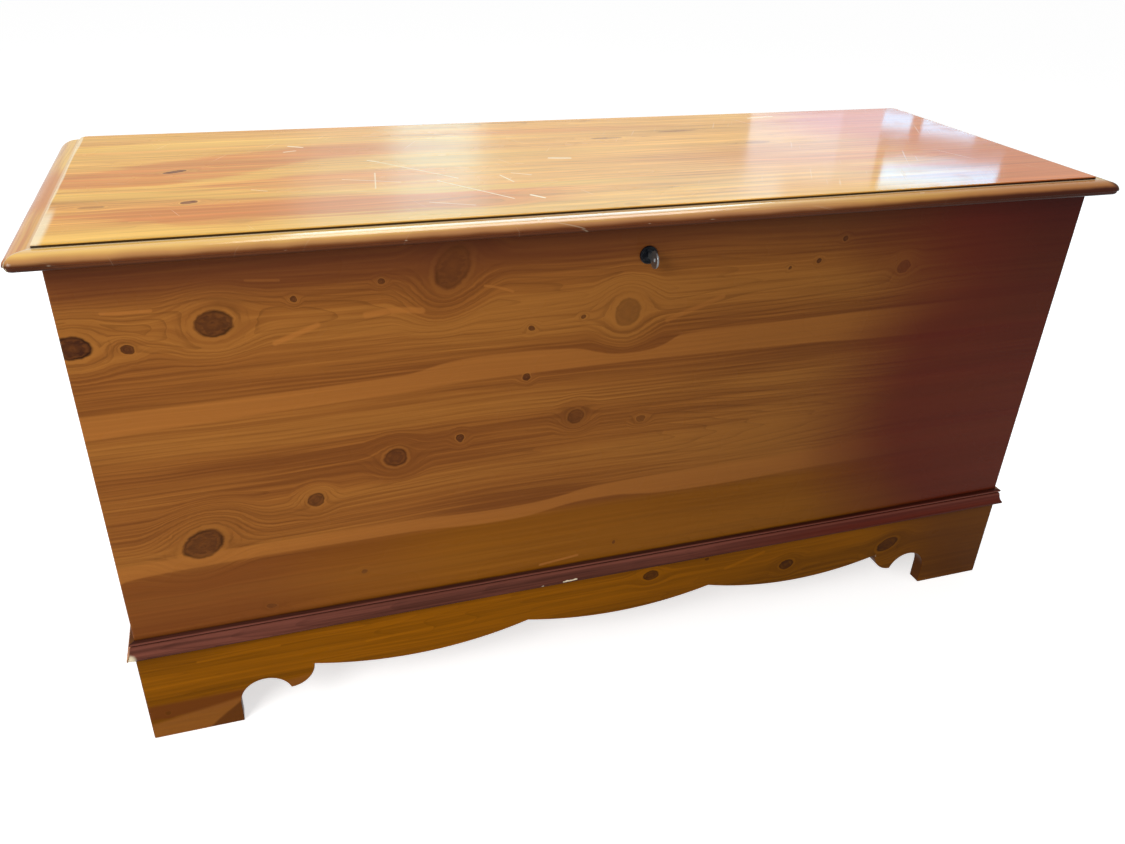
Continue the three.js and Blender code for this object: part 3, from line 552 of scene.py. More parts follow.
FRONT_KNOTS = (
    Knot(-446, 514, 14, 1.3, 0.86, 2.4, 8),
    Knot(-571, 502, 12, 1.45, 1.0, 2),
    Knot(-525, 496, 5.5, 1.2, 0.92, 2),
    Knot(-370.5, 532, 3.2, 1.1, 0.85, 1),
    Knot(-213, 552, 25, 0.7, 0.55, 1.2, -30),
    Knot(-285, 543, 3.4, 1.1, 0.8, 1),
    Knot(-19, 484, 17, 0.9, 0.42, 1),
    Knot(-129, 476, 3.6, 1.1, 0.85, 1),
    Knot(-70, 484, 2.6, 1.1, 0.75, 1),
    Knot(-134, 418.5, 4.5, 1.1, 0.85, 1),
    Knot(-74, 361, 9, 1.1, 0.45, 2),
    Knot(8, 347, 4.5, 1.3, 0.5, 1),
    Knot(-209.5, 352, 5, 1.0, 0.85, 1),
    Knot(-281, 338, 11, 1.15, 0.7, 2),
    Knot(-370, 298, 8.5, 1.1, 0.8, 1.5, 30),
    Knot(-491, 262, 17, 1.35, 0.84, 1.6, 32),
    Knot(333.5, 508, 8, 1.1, 0.55, 1, 30),
    Knot(245, 549, 3.2, 1.1, 0.85, 1),
    Knot(215, 525, 3.0, 1.1, 0.85, 1),
    Knot(177, 519, 2.2, 1.1, 0.8, 1),
    Knot(-325, 191, 3.2, 1.1, 0.75, 1),
    Knot(-432, 164, 3.4, 1.8, 0.7, 1),
    Knot(-15, 171, 2.6, 1.1, 0.8, 1),
)

FRONT_CUT = Cut(
    seed=3.0,
    boards=(Board(120, 150, 60), Board(240, 318, 26), Board(425, 512, 30)),
    knots=FRONT_KNOTS,
    ring=4.6,
)

# The pale bands of the front: their upper and lower edges, along and up, in mm
UPPER_BAND_TOP = (
    (-580, 429), (-272, 437), (-164, 450), (-96, 448), (-49, 439), (-9, 434),
    (51, 450), (114, 452), (327, 455), (580, 455),
)
UPPER_BAND_FOOT = (
    (-580, 404), (-273, 417), (-164, 422), (-48, 423), (75, 423), (208, 421), (337, 416), (580, 415),
)
LOWER_BAND_TOP = (
    (-580, 248), (-281, 252), (-164, 249), (-39, 261), (94, 264), (236, 264), (320, 270), (580, 272),
)
LOWER_BAND_FOOT = (
    (-580, 226), (-282, 236), (-164, 231), (-38, 243), (6, 240), (97, 235), (240, 238), (580, 240),
)


def in_metres(points):
    return [(x * MM, y * MM) for x, y in points]


def band(g, u, v, top, foot, soft):
    """One inside a pale band and zero outside it, for wavy edges."""
    over = g.line(u, in_metres(top)) - v
    under = v - g.line(u, in_metres(foot))
    return g.smooth(over, -soft, soft) * g.smooth(under, -soft, soft)


class Scratch(NamedTuple):
    """A mark from one place to another, its width in mm and its strength."""

    start: tuple
    end: tuple
    width: float
    strength: float


# Where the painted dark reflection on the right of the front begins: heights and places along, in mm
DARK_REFLECTION_EDGE = (
    (120, 390), (170, 350), (240, 295), (300, 276), (360, 288), (425, 315), (463, 350), (540, 325),
    (600, 335),
)

FRONT_FLECKS = (
    Scratch((-541, 533), (-499, 532), 5, 0.75),
    Scratch((-412, 554), (-382, 552), 4, 0.5),
    Scratch((-392, 487), (-350, 502), 8, 0.7),
    Scratch((-302, 508), (-246, 514), 10, 0.6),
    Scratch((-112, 155), (-64, 160), 5, 0.7),
    Scratch((-132, 117), (-110, 119), 4, 0.5),
    Scratch((30, 470), (96, 492), 9, 0.4),
    Scratch((-180, 532), (-150, 520), 4, 0.5),
)


def marked(g, u, v, marks, soft=0.3):
    """How strongly the listed marks show on a face."""
    hits = []
    place = g.point(u, v)
    for mark in marks:
        start = Vector((*mark.start, 0)) * MM
        run = Vector((*mark.end, 0)) * MM - start
        rel = g.vector("SUBTRACT", place, tuple(start))
        along = g.vector("DOT_PRODUCT", rel, tuple(run / run.length_squared), output=1)
        along = g.math("MINIMUM", g.math("MAXIMUM", along, 0.0), 1.0)
        off = g.vector("MULTIPLY_ADD", g.point(along, along, along), tuple(-run), rel)
        away = g.vector("LENGTH", off, output=1)
        half = mark.width * MM / 2
        hits.append(g.smooth(away, half, half * soft, 0.0, mark.strength))
    return either(*hits)


def front_panel_finish(c):
    """The front: two pale bands, many knots, redder wood along the top under the lid's painted
    shadow, painted shade towards the right, and a painted dark reflection on its right end.
    """
    s = Surface("varnished_cedar_front")
    g = s.g
    wood = Wood(c.heart, c.russet, c.golden, c.knot, rings=0.36, streaks=0.4)
    u, v, w = s.x, s.z, s.y - FRONT
    tint, relief, line, dark = cedar_colour(g, u, v, w, FRONT_CUT, wood)
    waver = g.noise(g.point(u * 6, v * 5, 2.0), 2.0) * (90 * MM)
    # The lowest board is redder on the left and golden on the right
    low = g.smooth(v, 244 * MM, 226 * MM)
    low_tint = g.mix(g.smooth(u + waver, -480 * MM, -180 * MM), c.low_board, c.plinth)
    low_tint = g.shade(low_tint, 1.0 + g.grain(u, line, w, 3, 150, 91, 2.0) * 0.5)
    tint = g.mix(low * 0.72 * (1.0 - dark), tint, low_tint)
    pale = either(
        band(g, u, v, UPPER_BAND_TOP, UPPER_BAND_FOOT, 1.5 * MM),
        band(g, u, v, LOWER_BAND_TOP, LOWER_BAND_FOOT, 1.5 * MM),
    )
    sap = g.shade(c.sapwood, 1.0 + g.grain(u, line, w, 4, 330, 71, 2.0) * 0.34)
    tint = g.mix(pale * 0.8 * (1.0 - dark), tint, sap)
    flecks = marked(g, u, line * 0.3 + v * 0.7, FRONT_FLECKS)
    tint = g.mix(flecks, tint, g.shade(c.sapwood, 1.16))
    # Redder along the top, with the lid's shadow painted over it
    top = g.smooth(v + waver * 0.25, 520 * MM, 580 * MM)
    tint = g.mix(top * 0.8 * (1.0 - dark), tint, c.red_and_lid_shadow)
    # Painted shade: darker towards the right, where the light falls off across the front
    tint = g.shade(tint, g.smooth(u + waver, -350 * MM, 420 * MM, 1.04, 0.74))
    # Painted dark reflection: the right end is dark and red, deepest in its upper right corner
    reach = u + waver * 0.7 - g.line(v, in_metres(DARK_REFLECTION_EDGE))
    end = g.smooth(reach, -115 * MM, 110 * MM)
    corner = g.smooth(u + waver * 0.5, 380 * MM, 580 * MM) * g.smooth(v, 300 * MM, 560 * MM)
    dark_reflection = g.mix(corner, c.dark_reflection, c.dark_reflection_deep)
    dark_reflection = g.shade(dark_reflection, 1.0 + g.grain(u, line, w, 2, 50, 83, 2.0) * 0.4)
    tint = g.mix(end * 0.9, tint, dark_reflection)
    # Painted shade, with some dirt, just above the moulding
    foot = g.smooth(v + g.noise(g.point(u * 30, 0.0), 1.0) * (2 * MM), TRIM_TOP + 2.4 * MM, TRIM_TOP)
    tint = g.mix(foot * 0.6, tint, c.painted_shade_and_dirt)
    # The inner face is bare
    inside = g.smooth(s.y, FRONT_INNER - 0.4 * MM, FRONT_INNER + 0.4 * MM)
    tint = g.mix(inside, tint, bare_tint(g, c, u, line, w, 5.0))
    normal, edge = s.edge(1.4 * MM)
    worn = edge * g.smooth(g.noise(g.point(u * 60, v * 60, 5.0), 2.0), 0.02, 0.12)
    tint = g.mix(worn * (1.0 - inside) * 0.55, tint, c.sapwood)
    gloss = 0.27 + g.noise(g.point(u * 9, v * 14, 1.0), 2.0) * 0.12 + inside * 0.4
    return s.finish(tint, gloss, relief, 0.1 * MM, normal, Specular_IOR_Level=0.045)


def bare_tint(g, c, u, v, w, seed):
    """The colour of unvarnished cedar: pink-brown heartwood with pale sapwood streaks."""
    broad = g.grain(u, v, w, 1.1, 13, seed + 5, 1.0)
    fine = g.grain(u, v, w, 7, 260, seed + 9, 2.0)
    tone = g.smooth(broad + fine * 0.5, -0.2, 0.24)
    tint = g.mix(g.smooth(tone, 0.0, 0.55), c.bare_deep, c.bare)
    tint = g.mix(g.smooth(tone, 0.62, 0.9) * 0.8, tint, c.bare_sap)
    return g.shade(tint, 1.0 + fine * 0.5)


def plain_cedar(name, axes, cut, wood, c, shine, inside=None):
    """A cedar finish whose grain follows the named axes of the chest, bare on its inside."""
    s = Surface(name)
    g = s.g
    u, v, w = s.along(axes)
    tint, relief, line, _ = cedar_colour(g, u, v, w, cut, wood)
    gloss = wood.gloss + g.noise(g.point(u * 9, v * 14, 1.0), 2.0) * 0.12
    if inside is not None:
        mask = inside(s)
        tint = g.mix(mask, tint, bare_tint(g, c, u, line, w, cut.seed))
        gloss = gloss + mask * 0.4
    normal, edge = s.edge(1.4 * MM)
    worn = edge * g.smooth(g.noise(g.shade(s.place, 55.0), 2.0), 0.0, 0.12)
    tint = g.mix(worn * 0.5, tint, g.shade(wood.light, 1.2))
    return s.finish(tint, gloss, relief, 0.14 * MM, normal, Specular_IOR_Level=shine)


# Lid


LID_KNOTS = (
    Knot(-409, -167, 6, 1.8, 0.4, 2),
    Knot(-455, -95, 5, 1.7, 0.95, 1.5, 20),
    Knot(-545, -95, 4, 3.0, 0.5, 1),
    Knot(-472, 24, 4.5, 3.0, 1.0, 1.5, 24),
    Knot(57, 96, 4, 5.5, 0.6, 1),
    Knot(170, 120, 4, 8.0, 0.45, 1, 4),
    Knot(250, 40, 6, 3.0, 0.35, 2),
    Knot(-166, -150, 9, 2.2, 0.3, 2),
    Knot(430, -60, 7, 1.5, 0.3, 2),
    Knot(-20, -190, 5, 2.0, 0.3, 1),
)

LID_SCRATCHES = (
    Scratch((-254, 30), (-176, -58), 2.2, 0.9),
    Scratch((-200, -64), (-136, -146), 2.2, 0.95),
    Scratch((-251, 27), (-262, 36), 3.0, 0.9),
    Scratch((-49, 9), (-24, 4), 4.6, 1.0),
    Scratch((-127, -55), (-119, -84), 2.4, 0.8),
    Scratch((-112, -48), (-92, -60), 2.2, 0.7),
    Scratch((-115, -137), (-104, -150), 4.0, 1.0),
    Scratch((-224, -142), (-181, -161), 2.0, 0.7),
    Scratch((-262, -20), (-270, -82), 1.8, 0.6),
    Scratch((-300, -40), (-240, -62), 1.8, 0.6),
    Scratch((-345, 120), (-330, 112), 4.4, 0.8),
    Scratch((-352, 92), (-339, 96), 3.6, 0.7),
    Scratch((-395, -62), (-380, -70), 2.0, 0.5),
    Scratch((310, 180), (352, 186), 4.4, 0.9),
)

LID_CUT = Cut(
    seed=12.0,
    boards=(Board(-210, -160, 70), Board(-95, -40, 34), Board(20, 70, 45), Board(130, 180, 60)),
    knots=LID_KNOTS,
    ring=5.5,
    wander=9.0,
)


def scuffs(g, u, v, seed):
    """Fine random scratches in several directions."""
    hits = []
    for turn in (0.35, -0.5, 1.2):
        across = u * math.cos(turn) + v * math.sin(turn)
        along = v * math.cos(turn) - u * math.sin(turn)
        hair = g.noise(g.point(across * 500 + seed, along * 11, turn * 9), 0.0)
        where = g.noise(g.point(u * 9 + seed, v * 9, turn * 5), 1.0)
        hits.append(g.smooth(hair, 0.28, 0.36) * g.smooth(where, 0.02, 0.2))
    return either(*hits)


# The streaks at the lid's left end, in mm: their back and front edges, where they fade out
# along the lid, how strong they are and which of the lid's colours they take
LID_STREAKS = (
    (
        ((-584, 151), (-512, 160), (-426, 165), (-382, 164), (584, 160)),
        ((-584, 123), (-512, 122), (-426, 126), (-382, 131), (584, 150)),
        -380, -240, 0.8, "lid_pale",
    ),
    (
        ((-584, 20), (-532, 45), (-455, 76), (-370, 103), (-278, 126), (584, 140)),
        ((-584, -20), (-527, -31), (-454, -16), (-402, 5), (-346, 38), (-286, 57), (584, 100)),
        -290, -130, 0.85, "lid_russet",
    ),
    (
        ((-584, -60), (-470, -42), (-376, -21), (-294, -5), (-223, -7), (584, -10)),
        ((-584, -60), (-470, -46), (-378, -56), (-300, -57), (-233, -65), (584, -70)),
        -250, -130, 0.8, "lid_russet",
    ),
    (
        ((-584, -41), (-501, -55), (-429, -65), (-328, -76), (-223, -82), (584, -96)),
        ((-584, -73), (-500, -78), (-429, -88), (-330, -94), (-227, -105), (584, -120)),
        -60, 120, 0.7, "lid_pale",
    ),
    (
        (
            (-584, -124), (-543, -116), (-487, -115), (-405, -111), (-331, -103), (-228, -110),
            (584, -120),
        ),
        (
            (-584, -126), (-542, -132), (-485, -156), (-430, -179), (-361, -170), (-240, -171),
            (584, -170),
        ),
        -180, -40, 0.95, "lid_russet",
    ),
)


def lid_panel_finish(c):
    """The lid's boards: honey with pink and yellow streaks, knocks and scratches."""
    s = Surface("varnished_cedar_lid")
    g = s.g
    u, v, w = s.x, s.y, LID_HIGH.z - s.z
    wood = Wood(
        c.lid_heart, halfway(c.lid_heart, c.lid_russet), halfway(c.lid_heart, c.lid_pale), c.lid_knot,
        rings=0.4, streaks=0.7,
    )
    tint, relief, line, dark = cedar_colour(g, u, v, w, LID_CUT, wood)
    waver = g.noise(g.point(u * 3, v * 9, 7.0), 1.0) * (40 * MM)
    feather = v + g.grain(u, v, w, 3.4, 120, 3.0, 3.0) * (56 * MM)
    free = (1.0 - dark) * g.smooth(g.grain(u, line, w, 4, 130, 9.0, 2.0), -0.3, 0.12, 0.3, 1.0)
    far = u + waver * 3
    for top, foot, start, end, share, name in LID_STREAKS:
        streak = band(g, u, feather, top, foot, 7 * MM) * g.smooth(far, end * MM, start * MM)
        tint = g.mix(streak * free * share, tint, getattr(c, name))
    # Pale along the front edge, redder at the right end
    pale = g.smooth(feather, -150 * MM, -192 * MM) * g.smooth(far, -250 * MM, -520 * MM, 0.5, 1.0)
    tint = g.mix(pale * 0.7, tint, g.shade(c.lid_pale, 1.08))
    long_grain = g.grain(u, line, w, 2.2, 62, 77.0, 2.0) + g.grain(u, line, w, 3.0, 150, 88.0, 1.0)
    ruddy = g.smooth(far + g.grain(u, v, w, 2, 60, 51.0, 2.0) * (260 * MM), 270 * MM, 480 * MM)
    tint = g.mix(ruddy * 0.84, tint, c.lid_end)
    tint = g.shade(tint, 1.0 + long_grain * 0.55)
    rays = between(g.grain(u, line, w, 1.6, 26, 19.0, 1.0), -0.05, 0.02, 0.03) * ruddy
    tint = g.mix(rays * 0.3, tint, c.lid_russet)
    marks = marked(g, u + waver * 0.03, v, LID_SCRATCHES, 0.5)
    fine = scuffs(g, u, v, 4.0)
    tint = g.mix(marks, tint, c.chip)
    tint = g.mix(fine * 0.3, tint, c.chip)
    # Worn bare along the left edge
    left = LID_HIGH.x + u
    rub = g.smooth(left + waver * 0.12, 3.2 * MM, 1.8 * MM) * 0.6
    patch = g.smooth(left + waver * 0.3, 11 * MM, 5 * MM) * g.smooth(v + waver, -70 * MM, -130 * MM)
    tint = g.mix(either(rub, patch * 0.7), tint, c.chip)
    # Painted shade, with some dirt, on the step down to the edging
    step = g.smooth(v, LID_LOW.y + 0.55 * MM, LID_LOW.y + 0.2 * MM)
    step = step * g.smooth(s.z, LID_HIGH.z - 0.8 * MM, LID_HIGH.z - 1.3 * MM)
    tint = g.mix(step * 0.95, tint, g.shade(c.painted_shade_and_dirt, 0.7))
    under = g.smooth(s.z, LID_LOW.z + 1.6 * MM, LID_LOW.z + 0.8 * MM)
    tint = g.mix(under, tint, bare_tint(g, c, u, line, w, 15.0))
    normal, _ = s.edge(1.0 * MM)
    gloss = g.smooth(u + waver, 0.0, 300 * MM, 0.26, 0.075)
    gloss = gloss + g.smooth(g.noise(g.point(u * 11, v * 17, 1.0), 2.0), 0.0, 0.3) * 0.06
    gloss = gloss + fine * 0.04 + marks * 0.12 + under * 0.4 + step * 0.4
    relief = relief * 0.08 - marks * 0.8 - fine * 0.05
    return s.finish(tint, gloss, relief, 0.1 * MM, normal, Specular_IOR_Level=0.05)


def edging_finish(name, axes, c, seed, front):
    """The lid's edging: pale on top, its face dark, partly browned by hands and dirt and partly
    painted shade under the nose.
    """
    s = Surface(name)
    g = s.g
    u, v, w = s.along(axes)
    cut = Cut(seed=seed, boards=(Board(-900, seed * 9, 50),), ring=4.2, wander=4.0)
    wood = Wood(c.lid_heart, c.lid_russet, c.lid_pale, c.knot, rings=0.24, streaks=0.34)
    tint, relief, line, _ = cedar_colour(g, u, v, w, cut, wood)
    if front:
        yellow = g.smooth(u, -180 * MM, -330 * MM)
        tint = g.mix(yellow * 0.6, tint, g.shade(c.lid_pale, 1.1))
        pinker = g.smooth(u, 240 * MM, 480 * MM)
    else:
        pinker = between(u, -90 * MM, 60 * MM, 30 * MM)
    tint = g.mix(pinker * 0.8, tint, c.lid_russet)
    # Pale along the joint with the boards: partly worn, partly a painted highlight on the edging's
    # top
    past_front = LID_LOW.y - s.y
    past_end = g.math("ABSOLUTE", s.x) - LID_HIGH.x
    joint = g.smooth(either(past_front, past_end), 4.4 * MM, 2.6 * MM)
    tint = g.mix(joint * (0.6 if front else 0.35), tint, c.chip)
    tint = g.shade(tint, g.smooth(s.x, 60 * MM, 520 * MM, 0.92, 0.66))
    # Below the nose the face is brown, and darker towards the right: partly wood browned by handling,
    # partly painted shade where the nose turns down and under it
    ragged = g.noise(g.point(s.x * 22, s.y * 22, 3.0), 2.0) * (2.4 * MM)
    warm = g.smooth(s.z + ragged, EDGING_HIGH.z - 0.6 * MM, EDGING_HIGH.z - 5.0 * MM)
    tint = g.mix(warm * 0.75, tint, g.shade(c.lid_russet, 0.6))
    rise = g.smooth(s.x, 150 * MM, 480 * MM) * (2.4 * MM)
    face = g.smooth(s.z + ragged - rise, EDGING_HIGH.z - 4.4 * MM, EDGING_HIGH.z - 8.6 * MM)
    brown_and_shaded_face = g.mix(g.smooth(s.x, 20 * MM, 520 * MM), c.edging_face, c.edging_dark)
    corner = g.smooth(s.x, LID_LOW.x + 40 * MM, LID_LOW.x)
    corner = corner * g.smooth(s.y, LID_LOW.y + 30 * MM, LID_LOW.y)
    brown_and_shaded_face = g.mix(corner * 0.8, brown_and_shaded_face, c.edging_dark)
    brown_and_shaded_face = g.shade(brown_and_shaded_face, 1.0 + g.grain(u, line, s.z, 5, 200, seed + 7, 2.0) * 0.7)
    right_corner = g.smooth(s.x, 588 * MM, 601 * MM) * g.smooth(s.y, -150 * MM, -200 * MM)
    face = either(face, right_corner)
    tint = g.mix(face * 0.93, tint, brown_and_shaded_face)
    # Painted shade along the edging's lower edge
    under = g.smooth(s.z, EDGING_LOW.z + 4.5 * MM, EDGING_LOW.z + 1.5 * MM)
    tint = g.mix(under * 0.5, tint, g.shade(c.painted_shade_and_dirt, 1.2))
    # Dark stains where the edging is handled
    stains = g.smooth(g.noise(g.point(u * 26 + seed, v * 90, s.z * 40), 2.0), 0.16, 0.34)
    tint = g.mix(stains * g.smooth(s.x, -300 * MM, 0.0) * 0.7, tint, c.edging_face)
    fine = scuffs(g, u, s.z + v, seed)
    knocks = g.smooth(g.noise(g.point(u * 60, v * 220 + seed, s.z * 260), 1.0), 0.27, 0.32)
    tint = g.mix(either(knocks * 0.5, fine * 0.25), tint, c.chip)
    # The glued mitre shows as a pale line
    off = g.math("ABSOLUTE", past_end - past_front)
    mitre = g.smooth(off, 0.9 * MM, 0.4 * MM) * g.smooth(past_front, -1 * MM, 0.0)
    tint = g.mix(mitre * 0.7, tint, c.chip)
    normal, _ = s.edge(1.0 * MM)
    gloss = 0.2 + g.noise(g.point(u * 14, v * 60, 1.0), 2.0) * 0.14 + knocks * 0.2 + face * 0.1
    relief = relief * 0.12 - knocks * 1.2
    # The varnish is worn off towards the right and on the ends
    kept = g.smooth(u, 120 * MM, 330 * MM, 1.0, 0.2) if front else 0.25
    varnish = (1.0 - either(face, under) * 0.95) * kept
    return s.finish(
        tint, gloss, relief, 0.1 * MM, normal, Specular_IOR_Level=0.05,
        Coat_Weight=varnish, Coat_Roughness=0.16,
    )


# Mesh pieces


def link(name, mesh, finish, body, replaced=(), sharp=32.0):
    """A new piece: smooth but for its sharp edges, riding on a body."""
    mesh.materials.clear()
    mesh.materials.append(finish)
    if not mesh.has_custom_normals:
        mesh.shade_smooth()
        mesh.set_sharp_from_angle(angle=math.radians(sharp))
    piece = bpy.data.objects.new(name, mesh)
    bpy.context.scene.collection.objects.link(piece)
    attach(piece, body)
    if replaced:
        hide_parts(*replaced)


def as_mesh(name, bm):
    bmesh.ops.recalc_face_normals(bm, faces=bm.faces)
    mesh = bpy.data.meshes.new(name)
    bm.to_mesh(mesh)
    bm.free()
    return mesh


def modified(name, mesh, *modifiers):
    """A mesh with modifiers applied, each a kind and its settings."""
    holder = bpy.data.objects.new(name + "_working", mesh)
    bpy.context.scene.collection.objects.link(holder)
    for kind, settings in modifiers:
        modifier = holder.modifiers.new(kind.title(), kind)
        for key, value in settings.items():
            setattr(modifier, key, value)
    graph = bpy.context.evaluated_depsgraph_get()
    made = bpy.data.meshes.new_from_object(holder.evaluated_get(graph))
    bpy.data.objects.remove(holder)
    made.name = name
    return made


def cut_away(name, mesh, cutter, keep="DIFFERENCE"):
    """A mesh less another, or what both share."""
    tool = bpy.data.objects.new(name + "_cutter", cutter)
    bpy.context.scene.collection.objects.link(tool)
    made = modified(name, mesh, ("BOOLEAN", {"object": tool, "operation": keep, "solver": "EXACT"}))
    bpy.data.objects.remove(tool)
    return made


def softened(name, mesh, width, angle):
    """A mesh whose edges sharper than an angle, in degrees, are softened."""
    limit = {"limit_method": "ANGLE", "angle_limit": math.radians(angle)}
    bevel = {"width": width, "segments": 2, **limit}
    return modified(name, mesh, ("BEVEL", bevel), ("WEIGHTED_NORMAL", {"weight": 90}))


def eased(name, bm, width):
    """The piece with its edges softened."""
    mesh = as_mesh(name, bm)
    mesh.shade_smooth()
    return softened(name, mesh, width, 40)


def skin(rings):
    """A skin over a row of like rings of points, with a cap at each end."""
    bm = bmesh.new()
    rows = [[bm.verts.new(point) for point in ring] for ring in rings]
    count = len(rows[0])
    for near, far in zip(rows, rows[1:]):
        for i in range(count):
            j = (i + 1) % count
            bm.faces.new((near[i], near[j], far[j], far[i]))
    bm.faces.new(rows[0])
    bm.faces.new(reversed(rows[-1]))
    bmesh.ops.dissolve_degenerate(bm, dist=0.00001, edges=bm.edges)
    return bm


def swept(section, spread, place):
    """A skin over a section's points, each set in its place for every step of a spread."""
    return skin([[place(a, b, step) for a, b in section] for step in spread])


def arc(centre, radius, start, end, steps):
    """Points along an arc, its angles in degrees."""
    points = []
    for i in range(steps + 1):
        angle = math.radians(start + (end - start) * i / steps)
        points.append((centre[0] + radius * math.cos(angle), centre[1] + radius * math.sin(angle)))
    return points


def quadratic(a, b, c, steps):
    """Points along a curve from a to c that bends towards b."""
    points = []
    for i in range(1, steps + 1):
        t = i / steps
        points.append(tuple(
            a[k] * (1 - t) ** 2 + 2 * b[k] * t * (1 - t) + c[k] * t * t for k in (0, 1)
        ))
    return points


GLUE = 0.2 * MM
EDGING_REACH = LID_LOW.y - EDGING_LOW.y
EDGING_STEPS = 90
# How far out the edging can be knocked
NOSE_BEGINS = EDGING_REACH * 0.6


def edging_section(e):
    """The edging's section: reach out from the panel, and height."""
    top, foot = EDGING_HIGH.z, EDGING_LOW.z
    face = EDGING_REACH - e.undercut
    start = EDGING_REACH - e.nose
    turns = [math.radians(90 * i / 18) for i in range(19)]
    nose = [(start + e.nose * math.cos(a), top - e.drop * (1 - math.sin(a))) for a in turns]
    return [
        (GLUE, foot),
        (face - e.foot, foot),
        *quadratic((face - e.foot, foot), (face, foot), (face, foot + e.foot), 8),
        *nose,
        (start * 0.5, top),
        (GLUE, top),
    ]


def dent(place, depth, seed):
    """How far a point of the nose is knocked in."""
    lump = noise.noise(Vector((place.x * 31 + seed, place.y * 31, place.z * 60)))
    wave = noise.noise(Vector((place.x * 4, place.y * 4, seed)))
    return depth * (max(0.0, lump - 0.25) * 1.8 + 0.25 * wave)


def corner_rings(e, half, front, angles, side):
    """The edging's section as it turns round a front corner, by angles in degrees."""
    rings = []
    for angle in angles:
        turn = math.radians(angle)
        ring = []
        for out, z in edging_section(e):
            bend = max(0.0, e.front_corner - (EDGING_REACH - out))
            x = half + out - bend + bend * math.sin(turn)
            y = front - (out - bend) - bend * math.cos(turn)
            ring.append((side * x, y, z))
        rings.append(ring)
    return rings


def front_edging(e):
    rings = corner_rings(e, LID_HIGH.x - GLUE, LID_LOW.y, (45, 30, 15, 0), -1)
    right = [[(-x, y, z) for x, y, z in ring] for ring in reversed(rings)]
    left_end, right_end = rings[-1], right[0]
    middle = []
    for i in range(1, EDGING_STEPS):
        t = i / EDGING_STEPS
        ring = []
        for (xa, y, z), (xb, _, _) in zip(left_end, right_end):
            place = Vector((xa + (xb - xa) * t, y, z))
            push = dent(place, e.dents, 3.0) if y < LID_LOW.y - NOSE_BEGINS else 0.0
            ring.append((place.x, place.y + push, place.z - push * 0.5))
        middle.append(ring)
    return skin(rings + middle + right)


def end_edging(e, side):
    rings = corner_rings(e, LID_HIGH.x, LID_LOW.y - GLUE, (45, 60, 75, 90), side)
    first = rings[-1]
    steps = EDGING_STEPS // 3
    for i in range(1, steps + 1):
        t = i / steps
        ring = []
        for x, y, z in first:
            place = Vector((x, y + (LID_HIGH.y - y) * t, z))
            push = dent(place, e.dents, 9.0) if abs(x) > LID_HIGH.x + NOSE_BEGINS else 0.0
            ring.append((place.x - side * push, place.y, place.z - push * 0.5))
        rings.append(ring)
    return skin(rings)


def prism(outline, z0, z1):
    """An outline in x and y, carried up z."""
    return skin([[(x, y, z) for x, y in outline] for z in (z0, z1)])


def lid_plan(e):
    """The plan of the lid, with its back corners rounded."""
    half = LID_HIGH.x + EDGING_REACH
    back = LID_HIGH.y
    r = e.back_corner
    margin = EDGING_REACH
    front = LID_LOW.y - 2 * margin
    outline = [
        (-half - margin, front),
        (half + margin, front),
        (half + margin, back - r),
        *arc((half - r, back - r), r, 0, 90, 24),
        *arc((-half + r, back - r), r, 90, 180, 24),
        (-half - margin, back - r),
    ]
    return prism(outline, LID_LOW.z - margin, LID_HIGH.z + margin)


def lid_boards(e):
    """The lid's glued-up boards, with the back corners rounded in plan."""
    half, front, back = LID_HIGH.x, LID_LOW.y, LID_HIGH.y
    r = e.panel_corner
    outline = [(-half, front), (half, front), (half, back - r)]
    outline += arc((half - r, back - r), r, 0, 90, 12)[1:]
    outline += arc((-half + r, back - r), r, 90, 180, 12)
    return prism(outline, LID_LOW.z, LID_HIGH.z)


def dress_cad(names, finish):
    """Gives packed pieces another finish."""
    for name in names:
        for slot in cad[name].material_slots:
            slot.material = finish


class CHEST_OT_lid(bpy.types.Operator):
    """Finishes the lid's boards and makes the edging round them"""

    bl_idname = "chest.lid"
    bl_label = "Lid"

    def execute(self, context):
        c = context.scene.chest_colours
        e = context.scene.chest_edging
        mesh = eased("lid_boards", lid_boards(e), e.ease)
        link("lid_boards", mesh, lid_panel_finish(c), "lid", ["lid_panel"])
        finish = edging_finish("varnished_cedar_edging_front", "xyz", c, 21.0, True)
        mesh = as_mesh("lid_edging_front", front_edging(e))
        link("lid_edging_front", mesh, finish, "lid", ["lid_moulding_front"])
        for side, hand in HANDS:
            name = f"lid_edging_{hand}"
            finish = edging_finish(f"varnished_cedar_edging_{hand}", "yxz", c, 27.0 + side, False)
            plan = as_mesh(name + "_plan", lid_plan(e))
            mesh = cut_away(name, as_mesh(name, end_edging(e, side)), plan, "INTERSECT")
            link(name, mesh, finish, "lid", [f"lid_moulding_{hand}"])
        return {"FINISHED"}


# Case


END_KNOTS = (
    Knot(-90, 470, 13, 1.2, 0.7, 3),
    Knot(70, 330, 10, 1.1, 0.65, 2),
    Knot(-20, 210, 15, 1.25, 0.6, 3),
    Knot(130, 520, 5, 1.1, 0.8, 1),
    Knot(150, 190, 4, 1.1, 0.8, 1),
)

BACK_KNOTS = (
    Knot(-420, 480, 16, 1.2, 0.75, 3),
    Knot(-160, 250, 12, 1.2, 0.7, 3),
    Knot(120, 430, 14, 1.1, 0.7, 3),
    Knot(380, 300, 18, 1.2, 0.75, 3),
    Knot(460, 520, 6, 1.1, 0.8, 1),
)


# Which way the grain of each cleat runs
CLEAT_AXES = {"front": "xyz", "back": "xyz", "left": "yxz", "right": "yxz"}


def bare_wood(c):
    return Wood(
        c.bare, c.bare_deep, c.bare_sap, c.russet, rings=0.25, streaks=0.5, gloss=0.62, flecks=0.35
    )


